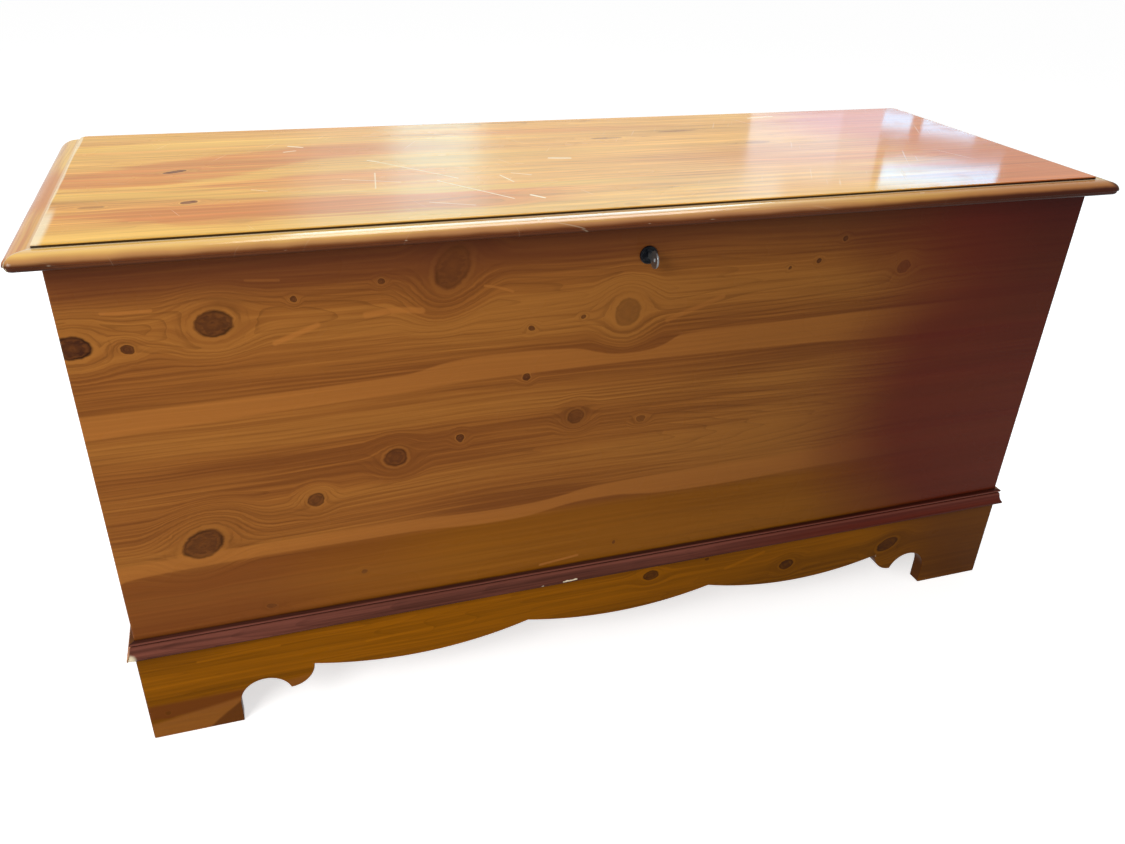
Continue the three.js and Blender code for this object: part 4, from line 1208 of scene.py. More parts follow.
class CHEST_OT_case(bpy.types.Operator):
    """Finishes the four walls of the case"""

    bl_idname = "chest.case"
    bl_label = "Case"

    def execute(self, context):
        c = context.scene.chest_colours
        dress_cad(["front_panel"], front_panel_finish(c))
        inner = END_LOW.x

        def end_inside(s):
            depth = s.g.math("ABSOLUTE", s.x)
            return s.g.smooth(depth, inner + 1.4 * MM, inner + 0.6 * MM)

        wood = Wood(c.heart, c.russet, c.golden, c.knot, rings=0.4, streaks=0.42, flecks=0.35)
        for side, hand in HANDS:
            cut = Cut(
                seed=36.0 + 3 * side,
                boards=(Board(120, 180, 40), Board(290, 340, 24), Board(450, 520, 44)),
                knots=tuple(k._replace(along=k.along * side) for k in END_KNOTS),
                ring=4.8,
            )
            label = f"varnished_cedar_{hand}_end"
            finish = plain_cedar(label, "yzx", cut, wood, c, 0.04, end_inside)
            dress_cad([f"{hand}_end_panel"], finish)

        def back_inside(s):
            return s.g.smooth(s.y, BACK_LOW.y + 1.4 * MM, BACK_LOW.y + 0.6 * MM)

        cut = Cut(
            seed=45.0,
            boards=(
                Board(120, 170, 40), Board(250, 320, 30), Board(400, 440, 26), Board(520, 560, 50),
            ),
            knots=BACK_KNOTS,
            ring=5.2,
        )
        wood = Wood(
            halfway(c.heart, c.bare), halfway(c.russet, c.bare_deep), halfway(c.golden, c.bare_sap),
            c.knot, rings=0.36, streaks=0.45, gloss=0.45, flecks=0.35,
        )
        finish = plain_cedar("thin_varnished_cedar_back", "xzy", cut, wood, c, 0.06, back_inside)
        dress_cad(["back_panel"], finish)
        return {"FINISHED"}


def bare_cedar(c, node, label, axes, seed, board, ring, knots=()):
    """Gives a packed piece bare cedar, cut from a board of its own."""
    cut = Cut(seed=seed, boards=(board,), knots=knots, ring=ring)
    dress_cad([node], plain_cedar(f"bare_cedar_{label}", axes, cut, bare_wood(c), c, 0.12))


def packed(start):
    """The names of the packed pieces that begin alike."""
    return [name for name in sorted(cad) if name.startswith(start)]


class CHEST_OT_inside(bpy.types.Operator):
    """Finishes the bare cedar inside and under the chest"""

    bl_idname = "chest.inside"
    bl_label = "Inside"

    def execute(self, context):
        c = context.scene.chest_colours
        for i, name in enumerate(packed("floor_board")):
            low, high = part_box(name)
            middle = (low.y + high.y) / 2 / MM
            board = Board(-400, middle + 12 * (-1) ** i, 22 + 6 * i)
            knots = (
                Knot(-300 + 190 * i, middle - 14, 9, 1.3, 0.6, 3),
                Knot(380 - 160 * i, middle + 18, 6, 1.2, 0.7, 2),
            )
            bare_cedar(c, name, name, "xyz", 51.0 + 3 * i, board, 4.5, knots)
        for i, (side, axes) in enumerate(CLEAT_AXES.items()):
            board = Board(-900, 0, 40)
            bare_cedar(c, f"floor_cleat_{side}", f"cleat_{side}", axes, 70.0 + 3 * i, board, 3.8)
        for i, name in enumerate(packed("corner_block")):
            bare_cedar(c, name, name, "zxy", 90.0 + 3 * i, Board(-900, 0, 30), 3.6)
        for i, (_, hand) in enumerate(HANDS):
            board = Board(-900, 0, 34)
            bare_cedar(c, f"lid_batten_{hand}", f"batten_{hand}", "yxz", 104.0 + 3 * i, board, 4.0)
        bare_cedar(c, "plinth_back", "plinth_back", "xzy", 110.0, Board(-900, 60, 34), 4.4)
        return {"FINISHED"}


# Plinth

PLINTH_KNOTS = (
    Knot(40, 108, 8, 1.45, 0.9, 2),
    Knot(245, 83, 8, 1.4, 0.88, 2, 12),
    Knot(408, 84, 10, 1.7, 0.88, 2, 24),
    Knot(-562, 36, 3, 1.2, 0.7, 1),
    Knot(120, 118, 3, 1.2, 0.7, 1),
)


# Where the round cut beside a foot ends in a tip, in degrees
TIP_ANGLE = 17.5
# How far out the cusps stand, as a share of half the scalloped length
CUSP_SHARE = 0.323


def hanging_arc(start, end, sag, steps):
    """Points after the start of an arc that hangs below the line to its end."""
    chord = math.dist(start, end)
    radius = (chord * chord / 4 + sag * sag) / (2 * sag)
    rise = (radius - sag) / chord
    u = (start[0] + end[0]) / 2 - (end[1] - start[1]) * rise
    v = (start[1] + end[1]) / 2 + (end[0] - start[0]) * rise
    first = math.degrees(math.atan2(start[1] - v, start[0] - u))
    last = math.degrees(math.atan2(end[1] - v, end[0] - u))
    return arc((u, v), radius, first, last, steps)[1:]


def skirt(start, end, foot, cusps, sags, p):
    """The outline of a skirt from its top left corner: feet, bracket arcs, lobes, scallops."""
    tip = math.radians(TIP_ANGLE)
    reach = p.bracket * (1 + math.cos(tip))
    height = p.bracket_height + p.bracket * math.sin(tip) + p.lobe
    left, right = start + foot, end - foot
    inner, outer = left + reach, right - reach
    last, final = (inner + p.lobe, height), (outer - p.lobe, height)
    outline = [(start, PLINTH_HIGH.z), (start, 0), (left, 0)]
    outline += arc((left + p.bracket, p.bracket_height), p.bracket, 180, TIP_ANGLE, 30)
    outline += arc((inner, height), p.lobe, -90, 0, 16)
    for stop, sag in zip([*cusps, final], sags):
        outline += hanging_arc(last, stop, sag, 26)
        last = stop
    outline += arc((outer, height), p.lobe, 180, 270, 16)[1:]
    outline += arc((right - p.bracket, p.bracket_height), p.bracket, 180 - TIP_ANGLE, 0, 30)
    outline += [(right, 0), (end, 0), (end, PLINTH_HIGH.z)]
    return [point for i, point in enumerate(outline) if point != outline[i - 1]]


def plinth_front_board(p):
    half, front = PLINTH_HIGH.x, PLINTH_LOW.y
    reach = p.bracket * (1 + math.cos(math.radians(TIP_ANGLE)))
    cusp = (half - p.foot - reach - p.lobe) * CUSP_SHARE
    outline = skirt(
        -half, half, p.foot, [(-cusp, p.cusp), (cusp, p.cusp)],
        [p.outer_sag, p.middle_sag, p.outer_sag], p,
    )

    def place(x, z, depth):
        inset = half - depth - GLUE
        return max(-inset, min(inset, x)), front + depth, z

    return swept(outline, (0, p.thickness), place)


def plinth_end_board(p, side):
    half, front = PLINTH_HIGH.x, PLINTH_LOW.y
    outline = skirt(front, BACK, p.end_foot, [], [p.end_sag], p)

    def place(y, z, depth):
        return side * (half - depth), max(y, front + depth + GLUE), z

    return swept(outline, (0, p.thickness), place)


PLINTH_FLECKS = (
    Scratch((150, 96), (205, 112), 7, 0.5),
    Scratch((-330, 88), (-250, 90), 5, 0.45),
    Scratch((-520, 104), (-430, 106), 5, 0.4),
)


# The left foot, along in mm: its outer corner, where its dark wedge begins, its inner edge
FOOT_OUTER = -583
FOOT_WEDGE = -523
FOOT_INNER = -480


def plinth_finish(name, axes, c, seed, knots, front):
    """The plinth: golden brown, with a redder band and a pale one along its foot."""
    s = Surface(name)
    g = s.g
    u, v, w = s.along(axes)
    cut = Cut(seed=seed, boards=(Board(-50, 84, 30),), knots=knots, ring=4.6, wander=6.0)
    wood = Wood(
        c.plinth, toned(c.plinth, 0.74), toned(c.plinth, 1.22), c.knot, rings=0.36, streaks=0.36
    )
    tint, relief, line, dark = cedar_colour(g, u, v, w, cut, wood)
    free = 1.0 - dark
    left = g.smooth(u, -330 * MM, -470 * MM) if front else 1.0
    low = between(line, 27 * MM, 50 * MM, 4 * MM) * left
    tint = g.mix(low * 0.8 * free, tint, g.shade(c.low_board, 0.92))
    slant = line - (u - FOOT_OUTER * MM) * 0.18 if front else line
    pale = g.smooth(slant, 24 * MM, 17 * MM) * left
    tint = g.mix(pale * 0.75 * free, tint, g.shade(c.sapwood, 0.8))
    if front:
        # A dark wedge at the inner corner of the left foot
        wedge = g.smooth((u - FOOT_WEDGE * MM) * 0.8 - line, -2 * MM, 3 * MM)
        wedge = wedge * g.smooth(u, (FOOT_INNER + 8) * MM, FOOT_INNER * MM)
        tint = g.mix(wedge * 0.75, tint, g.shade(c.low_board, 0.55))
        tint = g.mix(marked(g, u, v, PLINTH_FLECKS), tint, toned(c.plinth, 1.6))
        # Painted shade: darker towards the right, where the light falls off, and a painted dark
        # reflection, darker and redder, on the right end
        tint = g.shade(tint, g.smooth(u, -400 * MM, 350 * MM, 1.0, 0.76))
        end = g.smooth(u + v * 0.5, 400 * MM, 560 * MM)
        tint = g.mix(end * 0.7, tint, g.shade(c.low_board, 0.5))
    # The cut edges of the skirt show darker end grain
    facing = g.parts(Field(g, g.node("ShaderNodeNewGeometry").outputs["True Normal"]))
    cutout = g.smooth(g.math("ABSOLUTE", facing["xyz".index(axes[2])]), 0.9, 0.5)
    tint = g.mix(cutout * 0.6, tint, g.shade(c.low_board, 0.5))
    # Painted shadow of the moulding's overhang along the plinth's top
    top = g.smooth(v, PLINTH_HIGH.z - 3.6 * MM, PLINTH_HIGH.z - 1.0 * MM)
    tint = g.mix(top * 0.8, tint, c.painted_shade_and_dirt)
    normal, edge = s.edge(1.2 * MM)
    worn = edge * g.smooth(g.noise(g.shade(s.place, 45.0), 2.0), 0.06, 0.16)
    tint = g.mix(worn * 0.45, tint, c.sapwood)
    chips = g.smooth(g.noise(g.shade(s.place, 90.0), 2.0), 0.2, 0.24) * edge
    tint = g.mix(chips * 0.8, tint, c.chip)
    gloss = 0.3 + g.noise(g.point(u * 12, v * 30, 1.0), 2.0) * 0.14
    return s.finish(tint, gloss, relief - chips, 0.12 * MM, normal, Specular_IOR_Level=0.025)


class CHEST_OT_plinth(bpy.types.Operator):
    """Makes the plinth's scalloped front and its two ends"""

    bl_idname = "chest.plinth"
    bl_label = "Plinth"

    def execute(self, context):
        c = context.scene.chest_colours
        p = context.scene.chest_plinth
        mesh = eased("plinth_skirt_front", plinth_front_board(p), p.ease)
        finish = plinth_finish("varnished_cedar_plinth_front", "xzy", c, 61.0, PLINTH_KNOTS, True)
        link("plinth_skirt_front", mesh, finish, "chest", ["plinth_front"])
        for side, hand in HANDS:
            name = f"plinth_skirt_{hand}"
            mesh = eased(name, plinth_end_board(p, side), p.ease)
            knots = (Knot(40 * side, 100, 8, 1.3, 0.6, 2),)
            label = f"varnished_cedar_plinth_{hand}"
            finish = plinth_finish(label, "yzx", c, 65.0 + side, knots, False)
            link(name, mesh, finish, "chest", [f"plinth_{hand}"])
        return {"FINISHED"}


# Base moulding


def trim_section(t):
    """The moulding's section: reach out from the case, and height."""
    foot, top = TRIM_LOW.z, TRIM_TOP
    outer = FRONT - TRIM_LOW.y
    ease, cove_in, cove_up = 0.4 * MM, 3.2 * MM, 2.4 * MM
    bead_out, quirk_out = GLUE + t.bead_reach, GLUE + t.quirk_reach
    bead_height = top - t.bead
    quirk_top = bead_height - t.bead
    quirk_foot = quirk_top - t.quirk
    lip = (outer, foot + t.lip)
    hollow = (outer - cove_in, foot + t.lip + cove_up)
    shoulder = (bead_out + t.bead, quirk_foot - 2.6 * MM)
    crown = (shoulder[0] - ease, quirk_foot)
    return [
        (GLUE, foot),
        (outer - ease, foot),
        (outer, foot + ease),
        lip,
        *quadratic(lip, hollow, shoulder, 12),
        *quadratic(shoulder, crown, (quirk_out + 0.8 * MM, quirk_foot), 6),
        (quirk_out, quirk_foot + ease / 2),
        (quirk_out, quirk_top - ease / 2),
        *arc((bead_out, bead_height), t.bead, -90, 90, 12),
        (GLUE, top),
    ]


def splinter(point, corner, depth):
    """Breaks a corner of the moulding back where it was knocked."""
    away = (point - corner).length
    if away > depth * 2.4:
        return point
    rough = 0.5 + 0.5 * noise.noise(point * 700)
    pull = depth * (1 - away / (depth * 2.4)) * rough
    return point + Vector((pull, pull * 0.8, pull * 0.3))


def front_trim(t):
    corner = Vector((TRIM_LOW.x, TRIM_LOW.y, TRIM_LOW.z + 2 * MM))
    spread = [0.0, 0.0015, 0.003, 0.005, 0.008, 0.012]
    spread += [i / 40 for i in range(1, 40)]
    spread += [0.992, 1.0]

    def place(out, z, along):
        reach = CASE_HIGH.x + out - GLUE
        point = Vector((-reach + 2 * reach * along, FRONT - out, z))
        return splinter(point, corner, 3.2 * MM)

    return swept(trim_section(t), spread, place)


def end_trim(t, side):
    def place(out, z, along):
        y = FRONT - out + GLUE
        return side * (CASE_HIGH.x + out), y + (BACK - y) * along, z

    return swept(trim_section(t), [i / 12 for i in range(13)], place)


TRIM_CHIPS = (
    Scratch((-84, 129.6), (-66, 130.2), 1.7, 1.0),
    Scratch((-112, 128.8), (-110, 129), 1.4, 0.7),
)


def trim_finish(name, axes, c, seed, front):
    """The base moulding: purple brown, redder and darker to the right of the front as a painted dark
    reflection, with painted highlights and shade, worn along its edges and broken at one corner."""
    s = Surface(name)
    g = s.g
    u, v, w = s.along(axes)
    cut = Cut(seed=seed, boards=(Board(-900, 100, 60),), ring=3.2, wander=3.0)
    wood = Wood(c.trim, toned(c.trim, 0.66), toned(c.trim, 1.3), c.knot, rings=0.5, streaks=1.1)
    tint, relief, _, _ = cedar_colour(g, u, v, w, cut, wood)
    # Painted dark reflection: the front's dark right end carried onto the moulding, darker and redder
    if front:
        red = g.smooth(u, 0.0, 380 * MM)
        tint = g.mix(red * 0.8, tint, g.shade(c.trim_dark_reflection, 1.0 + g.grain(u, v, w, 4, 300, seed, 2.0)))
    normal, edge = s.edge(0.8 * MM)
    # Painted highlight: the shoulder and the bead are lighter where they face the light from above
    shoulder = between(s.z, TRIM_TOP - 8.0 * MM, TRIM_TOP - 5.2 * MM, 0.6 * MM)
    bead = between(s.z, TRIM_TOP - 2.9 * MM, TRIM_TOP - 0.9 * MM, 0.4 * MM)
    tint = g.mix(either(shoulder * 0.5, bead * 0.7), tint, g.shade(c.trim, 1.6))
    knocked = g.noise(g.shade(s.place, 70.0), 2.0)
    chips = g.smooth(knocked, 0.24, 0.28) * edge
    away = g.vector("DISTANCE", s.place, tuple(TRIM_LOW), output=1)
    broken = g.smooth(away + knocked * (8 * MM), 11 * MM, 5 * MM)
    chips = either(chips * 0.5, broken)
    if front:
        ragged = g.noise(g.shade(s.place, 420.0), 1.0) * (1.6 * MM)
        chips = either(chips, marked(g, u, v + ragged, TRIM_CHIPS, 0.6))
    tint = g.mix(chips * 0.9, tint, c.chip)
    if not front:
        # Painted light, partly wear: each end is paler towards the front, for the strong light on the
        # left end's profile, where the colour is also worn off
        lit_and_worn_end = g.smooth(s.y + knocked * (60 * MM), FRONT + 60 * MM, FRONT - 10 * MM)
        tint = g.mix(lit_and_worn_end * 0.75, tint, g.shade(c.sapwood, 1.5))
    # Painted shade in the groove below the bead, along the seam with the case, and at the foot where
    # the moulding overhangs the plinth
    groove = between(s.z, TRIM_TOP - 4.7 * MM, TRIM_TOP - 3.3 * MM, 0.35 * MM)
    seam = g.smooth(s.z, TRIM_TOP - 0.7 * MM, TRIM_TOP - 0.05 * MM)
    foot = g.smooth(s.z, TRIM_LOW.z + 1.6 * MM, TRIM_LOW.z + 0.5 * MM) * (1.0 - chips)
    tint = g.mix(either(groove * 0.9, seam * 0.6, foot * 0.8), tint, c.painted_shade_and_dirt)
    gloss = 0.34 + g.noise(g.point(u * 16, v * 60, 1.0), 2.0) * 0.16 + chips * 0.3
    return s.finish(tint, gloss, relief - chips, 0.12 * MM, normal, Specular_IOR_Level=0.045)


class CHEST_OT_trim(bpy.types.Operator):
    """Makes the moulding round the foot of the case"""

    bl_idname = "chest.trim"
    bl_label = "Base Moulding"

    def execute(self, context):
        c = context.scene.chest_colours
        t = context.scene.chest_trim
        finish = trim_finish("stained_cedar_moulding_front", "xzy", c, 121.0, True)
        mesh = as_mesh("base_trim_front", front_trim(t))
        link("base_trim_front", mesh, finish, "chest", ["base_moulding_front"])
        for side, hand in HANDS:
            name = f"base_trim_{hand}"
            finish = trim_finish(f"stained_cedar_moulding_{hand}", "yzx", c, 125.0 + side, False)
            mesh = as_mesh(name, end_trim(t, side))
            link(name, mesh, finish, "chest", [f"base_moulding_{hand}"])
        return {"FINISHED"}


# Hinges, stays and screws


def metal_finish(name, tint, worn, tarnish, gloss, metallic=1.0):
    """Metal with tarnish in soft patches, brushed lines and brighter edges."""
    s = Surface(name)
    g = s.g
    patches = g.smooth(g.noise(g.shade(s.place, 55.0), 3.0), -0.12, 0.2)
    specks = g.smooth(g.noise(g.shade(s.place, 900.0), 2.0), 0.12, 0.24)
    brushed = g.noise(g.point(s.x * 260, s.y * 2600, s.z * 2600), 1.0)
    tone = g.mix(patches * 0.55, tint, tarnish)
    tone = g.mix(specks * 0.4, tone, tarnish)
    normal, edge = s.edge(0.35 * MM)
    # Lighter along the edges, where the metal is worn; on the key this also stands in for a painted
    # highlight
    tone = g.mix(edge * 0.6, tone, worn)
    rough = gloss + patches * 0.16 + brushed * 0.12
    relief = brushed * 0.5 - specks
    return s.finish(tone, rough, relief, 0.03 * MM, normal, Metallic=metallic)


class Screw(NamedTuple):
    """A screw: its name, its place on the face in mm, its way out and its body."""

    name: str
    place: tuple
    out: tuple
    body: str


# Where the screws stand, in mm
HINGE_X = 380
HINGE_Y = 206.1
HINGE_STEPS = (-27.36, 0, 27.36)
CASE_LEAF_Z = 585.2
LID_LEAF_Z = 585.8
CASE_BRACKET_X = 558.7
CASE_BRACKET_Y = 133.5
CASE_BRACKET_Z = (385.5, 423.5)
LID_BRACKET_X = 550.4
LID_BRACKET_Y = (-1.9, 36.9)
STRIKE_X = 21
STRIKE_Y = (-153.5, -138.5)
UNDER_LID_Z = 583.5

UP = (0, 0, 1)
DOWN = (0, 0, -1)
# How far a screw's face lies below the plate's
SUNK = 0.25 * MM


def screw_places():
    screws = []
    for side, hand in HANDS:
        for i, step in enumerate(HINGE_STEPS, 1):
            x = HINGE_X * side + step
            place = (x, HINGE_Y, CASE_LEAF_Z)
            screws.append(Screw(f"hinge_screw_case_{hand}_{i}", place, UP, "chest"))
            place = (x, HINGE_Y, LID_LEAF_Z)
            screws.append(Screw(f"hinge_screw_lid_{hand}_{i}", place, DOWN, "lid"))
        for i, (z, y) in enumerate(zip(CASE_BRACKET_Z, LID_BRACKET_Y), 1):
            place = (CASE_BRACKET_X * side, CASE_BRACKET_Y, z)
            screws.append(Screw(f"stay_screw_case_{hand}_{i}", place, (-side, 0, 0), "chest"))
            place = (LID_BRACKET_X * side, y, UNDER_LID_Z)
            screws.append(Screw(f"stay_screw_lid_{hand}_{i}", place, DOWN, "lid"))
    for i, y in enumerate(STRIKE_Y, 1):
        screws.append(Screw(f"strike_screw_{i}", (STRIKE_X, y, UNDER_LID_Z), DOWN, "lid"))
    return screws


def lathe(profile, sides):
    """A form turned about z from its profile of radius and height, which runs from axis to
    axis, or closes on itself where it begins off the axis."""
    bm = bmesh.new()
    rows = []
    for radius, height in profile:
        turns = [2 * math.pi * i / sides for i in range(sides if radius else 1)]
        rows.append([
            bm.verts.new((radius * math.cos(a), radius * math.sin(a), height)) for a in turns
        ])
    closing = rows[:1] if profile[0][0] else []
    for near, far in zip(rows, rows[1:] + closing):
        for i in range(sides):
            j = (i + 1) % sides
            ring = [near[i % len(near)], near[j % len(near)], far[j % len(far)], far[i % len(far)]]
            bm.faces.new(list(dict.fromkeys(ring)))
    return bm


def block(low, high):
    (x0, y0, z0), (x1, y1, z1) = low, high
    return prism([(x0, y0), (x1, y0), (x1, y1), (x0, y1)], z0, z1)


def screw_mesh(h):
    """A countersunk screw with a cross in its head, its face at height zero."""
    head, shank, long = h.screw_head, h.screw_shank, h.screw_length
    countersink, rim, point, cross_depth = 1.45 * MM, 0.12 * MM, 0.6 * MM, 0.9 * MM
    body = as_mesh("screw", lathe([
        (0, -long), (shank * 0.25, point - long), (shank, -long * 0.6),
        (shank, -countersink), (head, -rim), (head - rim, 0), (0, rim),
    ], 32))
    half = h.screw_slot / 2
    arm = head * 0.56
    for x, y in ((arm, half), (half, arm)):
        cutter = as_mesh("cross", block((-x, -y, -cross_depth), (x, y, MM)))
        body = cut_away("screw", body, cutter)
    return body


class CHEST_OT_hardware(bpy.types.Operator):
    """Finishes hinges, stays and strike, and makes their screws"""

    bl_idname = "chest.hardware"
    bl_label = "Hinges and Stays"

    def execute(self, context):
        c = context.scene.chest_colours
        h = context.scene.chest_hardware
        brass = metal_finish("worn_brass", c.brass, toned(c.brass, 1.35), toned(c.brass, 0.42), 0.3)
        dress_cad(packed(("hinge_", "stay_", "strike")), brass)
        master = screw_mesh(h)
        for i, screw in enumerate(screw_places()):
            mesh = master.copy()
            way = Vector(screw.out).to_track_quat("Z", "Y").to_matrix().to_4x4()
            turned = Matrix.Rotation(math.radians(37 * i), 4, "Z")
            place = Vector(screw.place) * MM - Vector(screw.out) * SUNK
            mesh.transform(Matrix.Translation(place) @ way @ turned)
            link(screw.name, mesh, brass, screw.body)
        return {"FINISHED"}


# Lock and key


def toward_front(mesh):
    """Turns a form made about z to look out of the front, on the lock's axis."""
    turn = Matrix.Rotation(math.radians(90), 4, "X")
    mesh.transform(Matrix.Translation((0, 0, LOCK_AXIS)) @ turn)
    return mesh


# Radii of the housing and of the plug in it, and half sizes of the square tail and keyway
BARREL = 8 * MM
BORE = 6.25 * MM
COUNTERBORE = 7.55 * MM
PLUG = 6.1 * MM
PLUG_HEAD = 7.4 * MM
PLUG_DISH = 2.5 * MM
TAIL = 3 * MM
TAIL_HOLE = 1.65 * MM
KEYWAY_WIDTH = 1.05 * MM
KEYWAY_HEIGHT = 3.5 * MM
KEYWAY_DEPTH = 20.3 * MM


def lock_face(h):
    """The lock's housing: a rounded flange, a barrel and a stepped bore."""
    flange, back, case = -LOCK_LOW.y, -LOCK_HIGH.y, -FRONT
    outer = LOCK_HIGH.x
    step = flange - 1.9 * MM
    return as_mesh("lock_face", lathe([
        (COUNTERBORE, flange - 0.3 * MM),
        (COUNTERBORE + 0.3 * MM, flange),
        (outer - 1.0 * MM, flange),
        (outer - 0.3 * MM, flange - 0.3 * MM),
        (outer, flange - 1.0 * MM),
        (outer, case + 0.25 * MM),
        (BARREL, case + 0.25 * MM),
        (BARREL, back),
        (BORE, back),
        (BORE, step),
        (COUNTERBORE, step),
    ], h.facets))


def lock_core(h):
    """The lock's plug with its keyway, and the square tail that carries the cam."""
    face, barrel_end, tail_end = -PLUG_LOW.y, -LOCK_HIGH.y, -PLUG_HIGH.y
    head, dish = face - 1.4 * MM, face - 0.35 * MM
    core = as_mesh("lock_core", lathe([
        (0, barrel_end), (PLUG, barrel_end), (PLUG, head), (PLUG_HEAD, head),
        (PLUG_HEAD, dish), (PLUG_HEAD - 0.35 * MM, face), (PLUG_DISH + 0.4 * MM, face),
        (PLUG_DISH, dish), (0, dish),
    ], h.facets))
    keyway = as_mesh("keyway", block(
        (-KEYWAY_WIDTH, -KEYWAY_HEIGHT, face - KEYWAY_DEPTH),
        (KEYWAY_WIDTH, KEYWAY_HEIGHT, face + 2 * MM),
    ))
    core = cut_away("lock_core", core, keyway)
    tail = as_mesh("tail", block((-TAIL, -TAIL, tail_end), (TAIL, TAIL, barrel_end + 0.1 * MM)))
    core = cut_away("lock_core", core, tail, "UNION")
    low, high = tail_end - MM, barrel_end - MM
    hole = as_mesh("tail_hole", lathe([(0, low), (TAIL_HOLE, low), (TAIL_HOLE, high), (0, high)], 24))
    return cut_away("lock_core", core, hole)


def key_mesh(h):
    """A flat key: an oval bow with a ring hole, a milled blade with cuts along its foot."""
    half_thick = (KEY_HIGH.x - KEY_LOW.x) / 2
    face = PLUG_LOW.y - 0.3 * MM
    tip = KEY_HIGH.y
    blade, cut = 3.2 * MM, 0.8 * MM
    half_long, half_high = 9.5 * MM, h.bow / 2
    centre = KEY_LOW.y + half_long
    joint = math.degrees(math.asin(blade * 0.94 / half_high))
    outline = [
        (centre + half_long * math.cos(a), LOCK_AXIS + half_high * math.sin(a))
        for a in (math.radians(joint + (360 - 2 * joint) * i / 56) for i in range(57))
    ]
    foot, top = LOCK_AXIS - blade, LOCK_AXIS + blade
    for share in (0.24, 0.42, 0.58, 0.76):
        y = face + share * 20 * MM
        outline += [(y - cut, foot), (y, foot + 2 * cut), (y + cut, foot)]
    end = tip - 2 * cut
    outline += [(end, foot), (tip, foot + 2 * cut), (tip, top - 2 * cut), (end, top)]
    mesh = as_mesh("key", skin([[(x, y, z) for y, z in outline] for x in (-half_thick, half_thick)]))
    through = 2 * MM
    cutter = as_mesh("ring_hole", lathe(
        [(0, -through), (h.bow_hole, -through), (h.bow_hole, through), (0, through)], 40
    ))
    turn = Matrix.Rotation(math.radians(90), 4, "Y")
    cutter.transform(Matrix.Translation((0, centre - h.bow_hole, LOCK_AXIS)) @ turn)
    mesh = cut_away("key", mesh, cutter)
    # A groove is milled along each side of the blade
    for x0, x1 in ((-1.2 * MM, -0.5 * MM), (0.5 * MM, 1.2 * MM)):
        groove = as_mesh("groove", block(
            (x0, face - 4 * MM, LOCK_AXIS + 0.2 * MM), (x1, tip + MM, LOCK_AXIS + 1.3 * MM)
        ))
        mesh = cut_away("key", mesh, groove)
    mesh.shade_smooth()
    return softened("key", mesh, 0.22 * MM, 50)


def black_finish(c):
    """Black lacquer, worn to metal in spots along its edges."""
    s = Surface("black_lacquered_lock")
    g = s.g
    patches = g.noise(g.shade(s.place, 140.0), 3.0)
    normal, edge = s.edge(0.4 * MM)
    worn = edge * g.smooth(patches, 0.04, 0.16)
    dusty = g.smooth(g.noise(g.shade(s.place, 420.0), 2.0), 0.02, 0.24)
    tint = g.mix(dusty * 0.3, c.black, (0.05, 0.055, 0.06))
    tint = g.mix(worn * 0.7, tint, c.steel)
    rough = 0.3 + dusty * 0.2 + patches * 0.1
    return s.finish(tint, rough, patches * 0.4, 0.04 * MM, normal, Specular_IOR_Level=0.12)


class CHEST_OT_lock(bpy.types.Operator):
    """Makes the lock's face, its plug and the key, and finishes nut and cam"""

    bl_idname = "chest.lock"
    bl_label = "Lock and Key"

    def execute(self, context):
        c = context.scene.chest_colours
        h = context.scene.chest_hardware
        # The key's pale edge colour is partly a painted highlight
        steel = metal_finish("worn_steel", c.steel, (0.86, 0.87, 0.9), toned(c.steel, 0.4), 0.3, 0.85)
        black = black_finish(c)
        dress_cad(["lock_nut", "lock_cam", "lock_cam_screw"], steel)
        face = toward_front(lock_face(h))
        link("lock_face", face, black, "chest", ["lock_housing"], 40)
        core = toward_front(lock_core(h))
        link("lock_core", core, black, "lock_plug", ["lock_plug"], 40)
        link("flat_key", key_mesh(h), steel, "key", ["key"], 40)
        return {"FINISHED"}


# Stage


def floor_finish(tint):
    """A plain pale floor that looks white to the camera but for the shadow on it."""
    material = bpy.data.materials.new("pale_floor")
    material.use_nodes = True
    g = Graph(material.node_tree)
    diffuse = g.node("ShaderNodeBsdfDiffuse")
    g.feed(diffuse.inputs["Color"], tint)
    lift = g.node("ShaderNodeEmission")
    g.feed(lift.inputs["Strength"], seen_directly(g) * 0.64)
    both = g.node("ShaderNodeAddShader")
    g.tree.links.new(diffuse.outputs[0], both.inputs[0])
    g.tree.links.new(lift.outputs[0], both.inputs[1])
    out = g.node("ShaderNodeOutputMaterial")
    g.tree.links.new(both.outputs[0], out.inputs[0])
    return material


def seen_directly(g):
    """One for rays from the camera, and for those that a gloss or a glass sends on."""
    path = g.node("ShaderNodeLightPath")
    kinds = ("Camera", "Glossy", "Transmission")
    return either(*(Field(g, path.outputs[f"Is {kind} Ray"]) for kind in kinds))


class Lamp(NamedTuple):
    """An area lamp: its name, place, target, width, height, colour and how far it's rolled."""

    name: str
    place: tuple
    target: tuple
    width: float
    height: float
    tint: tuple
    roll: float = 0.0


KEY_LAMP = Lamp("key_lamp", (-2.2, -1.75, 1.75), (-0.2, -0.1, 0.35), 1.4, 1.4, (1, 0.985, 0.96))
TOP_LAMP = Lamp("top_lamp", (0.35, 0.75, 2.5), (0.1, 0, 0.6), 1.6, 0.8, (1, 0.99, 0.97))
DAYLIGHT = (0.2, 0.66, 1.0)
HAZE = (0.3, 0.84, 1.0)
WALL = (0.5, 0.69, 1.0)
# How far behind the chest the windows and walls stand that the lid mirrors
WALL_Y = 2.4
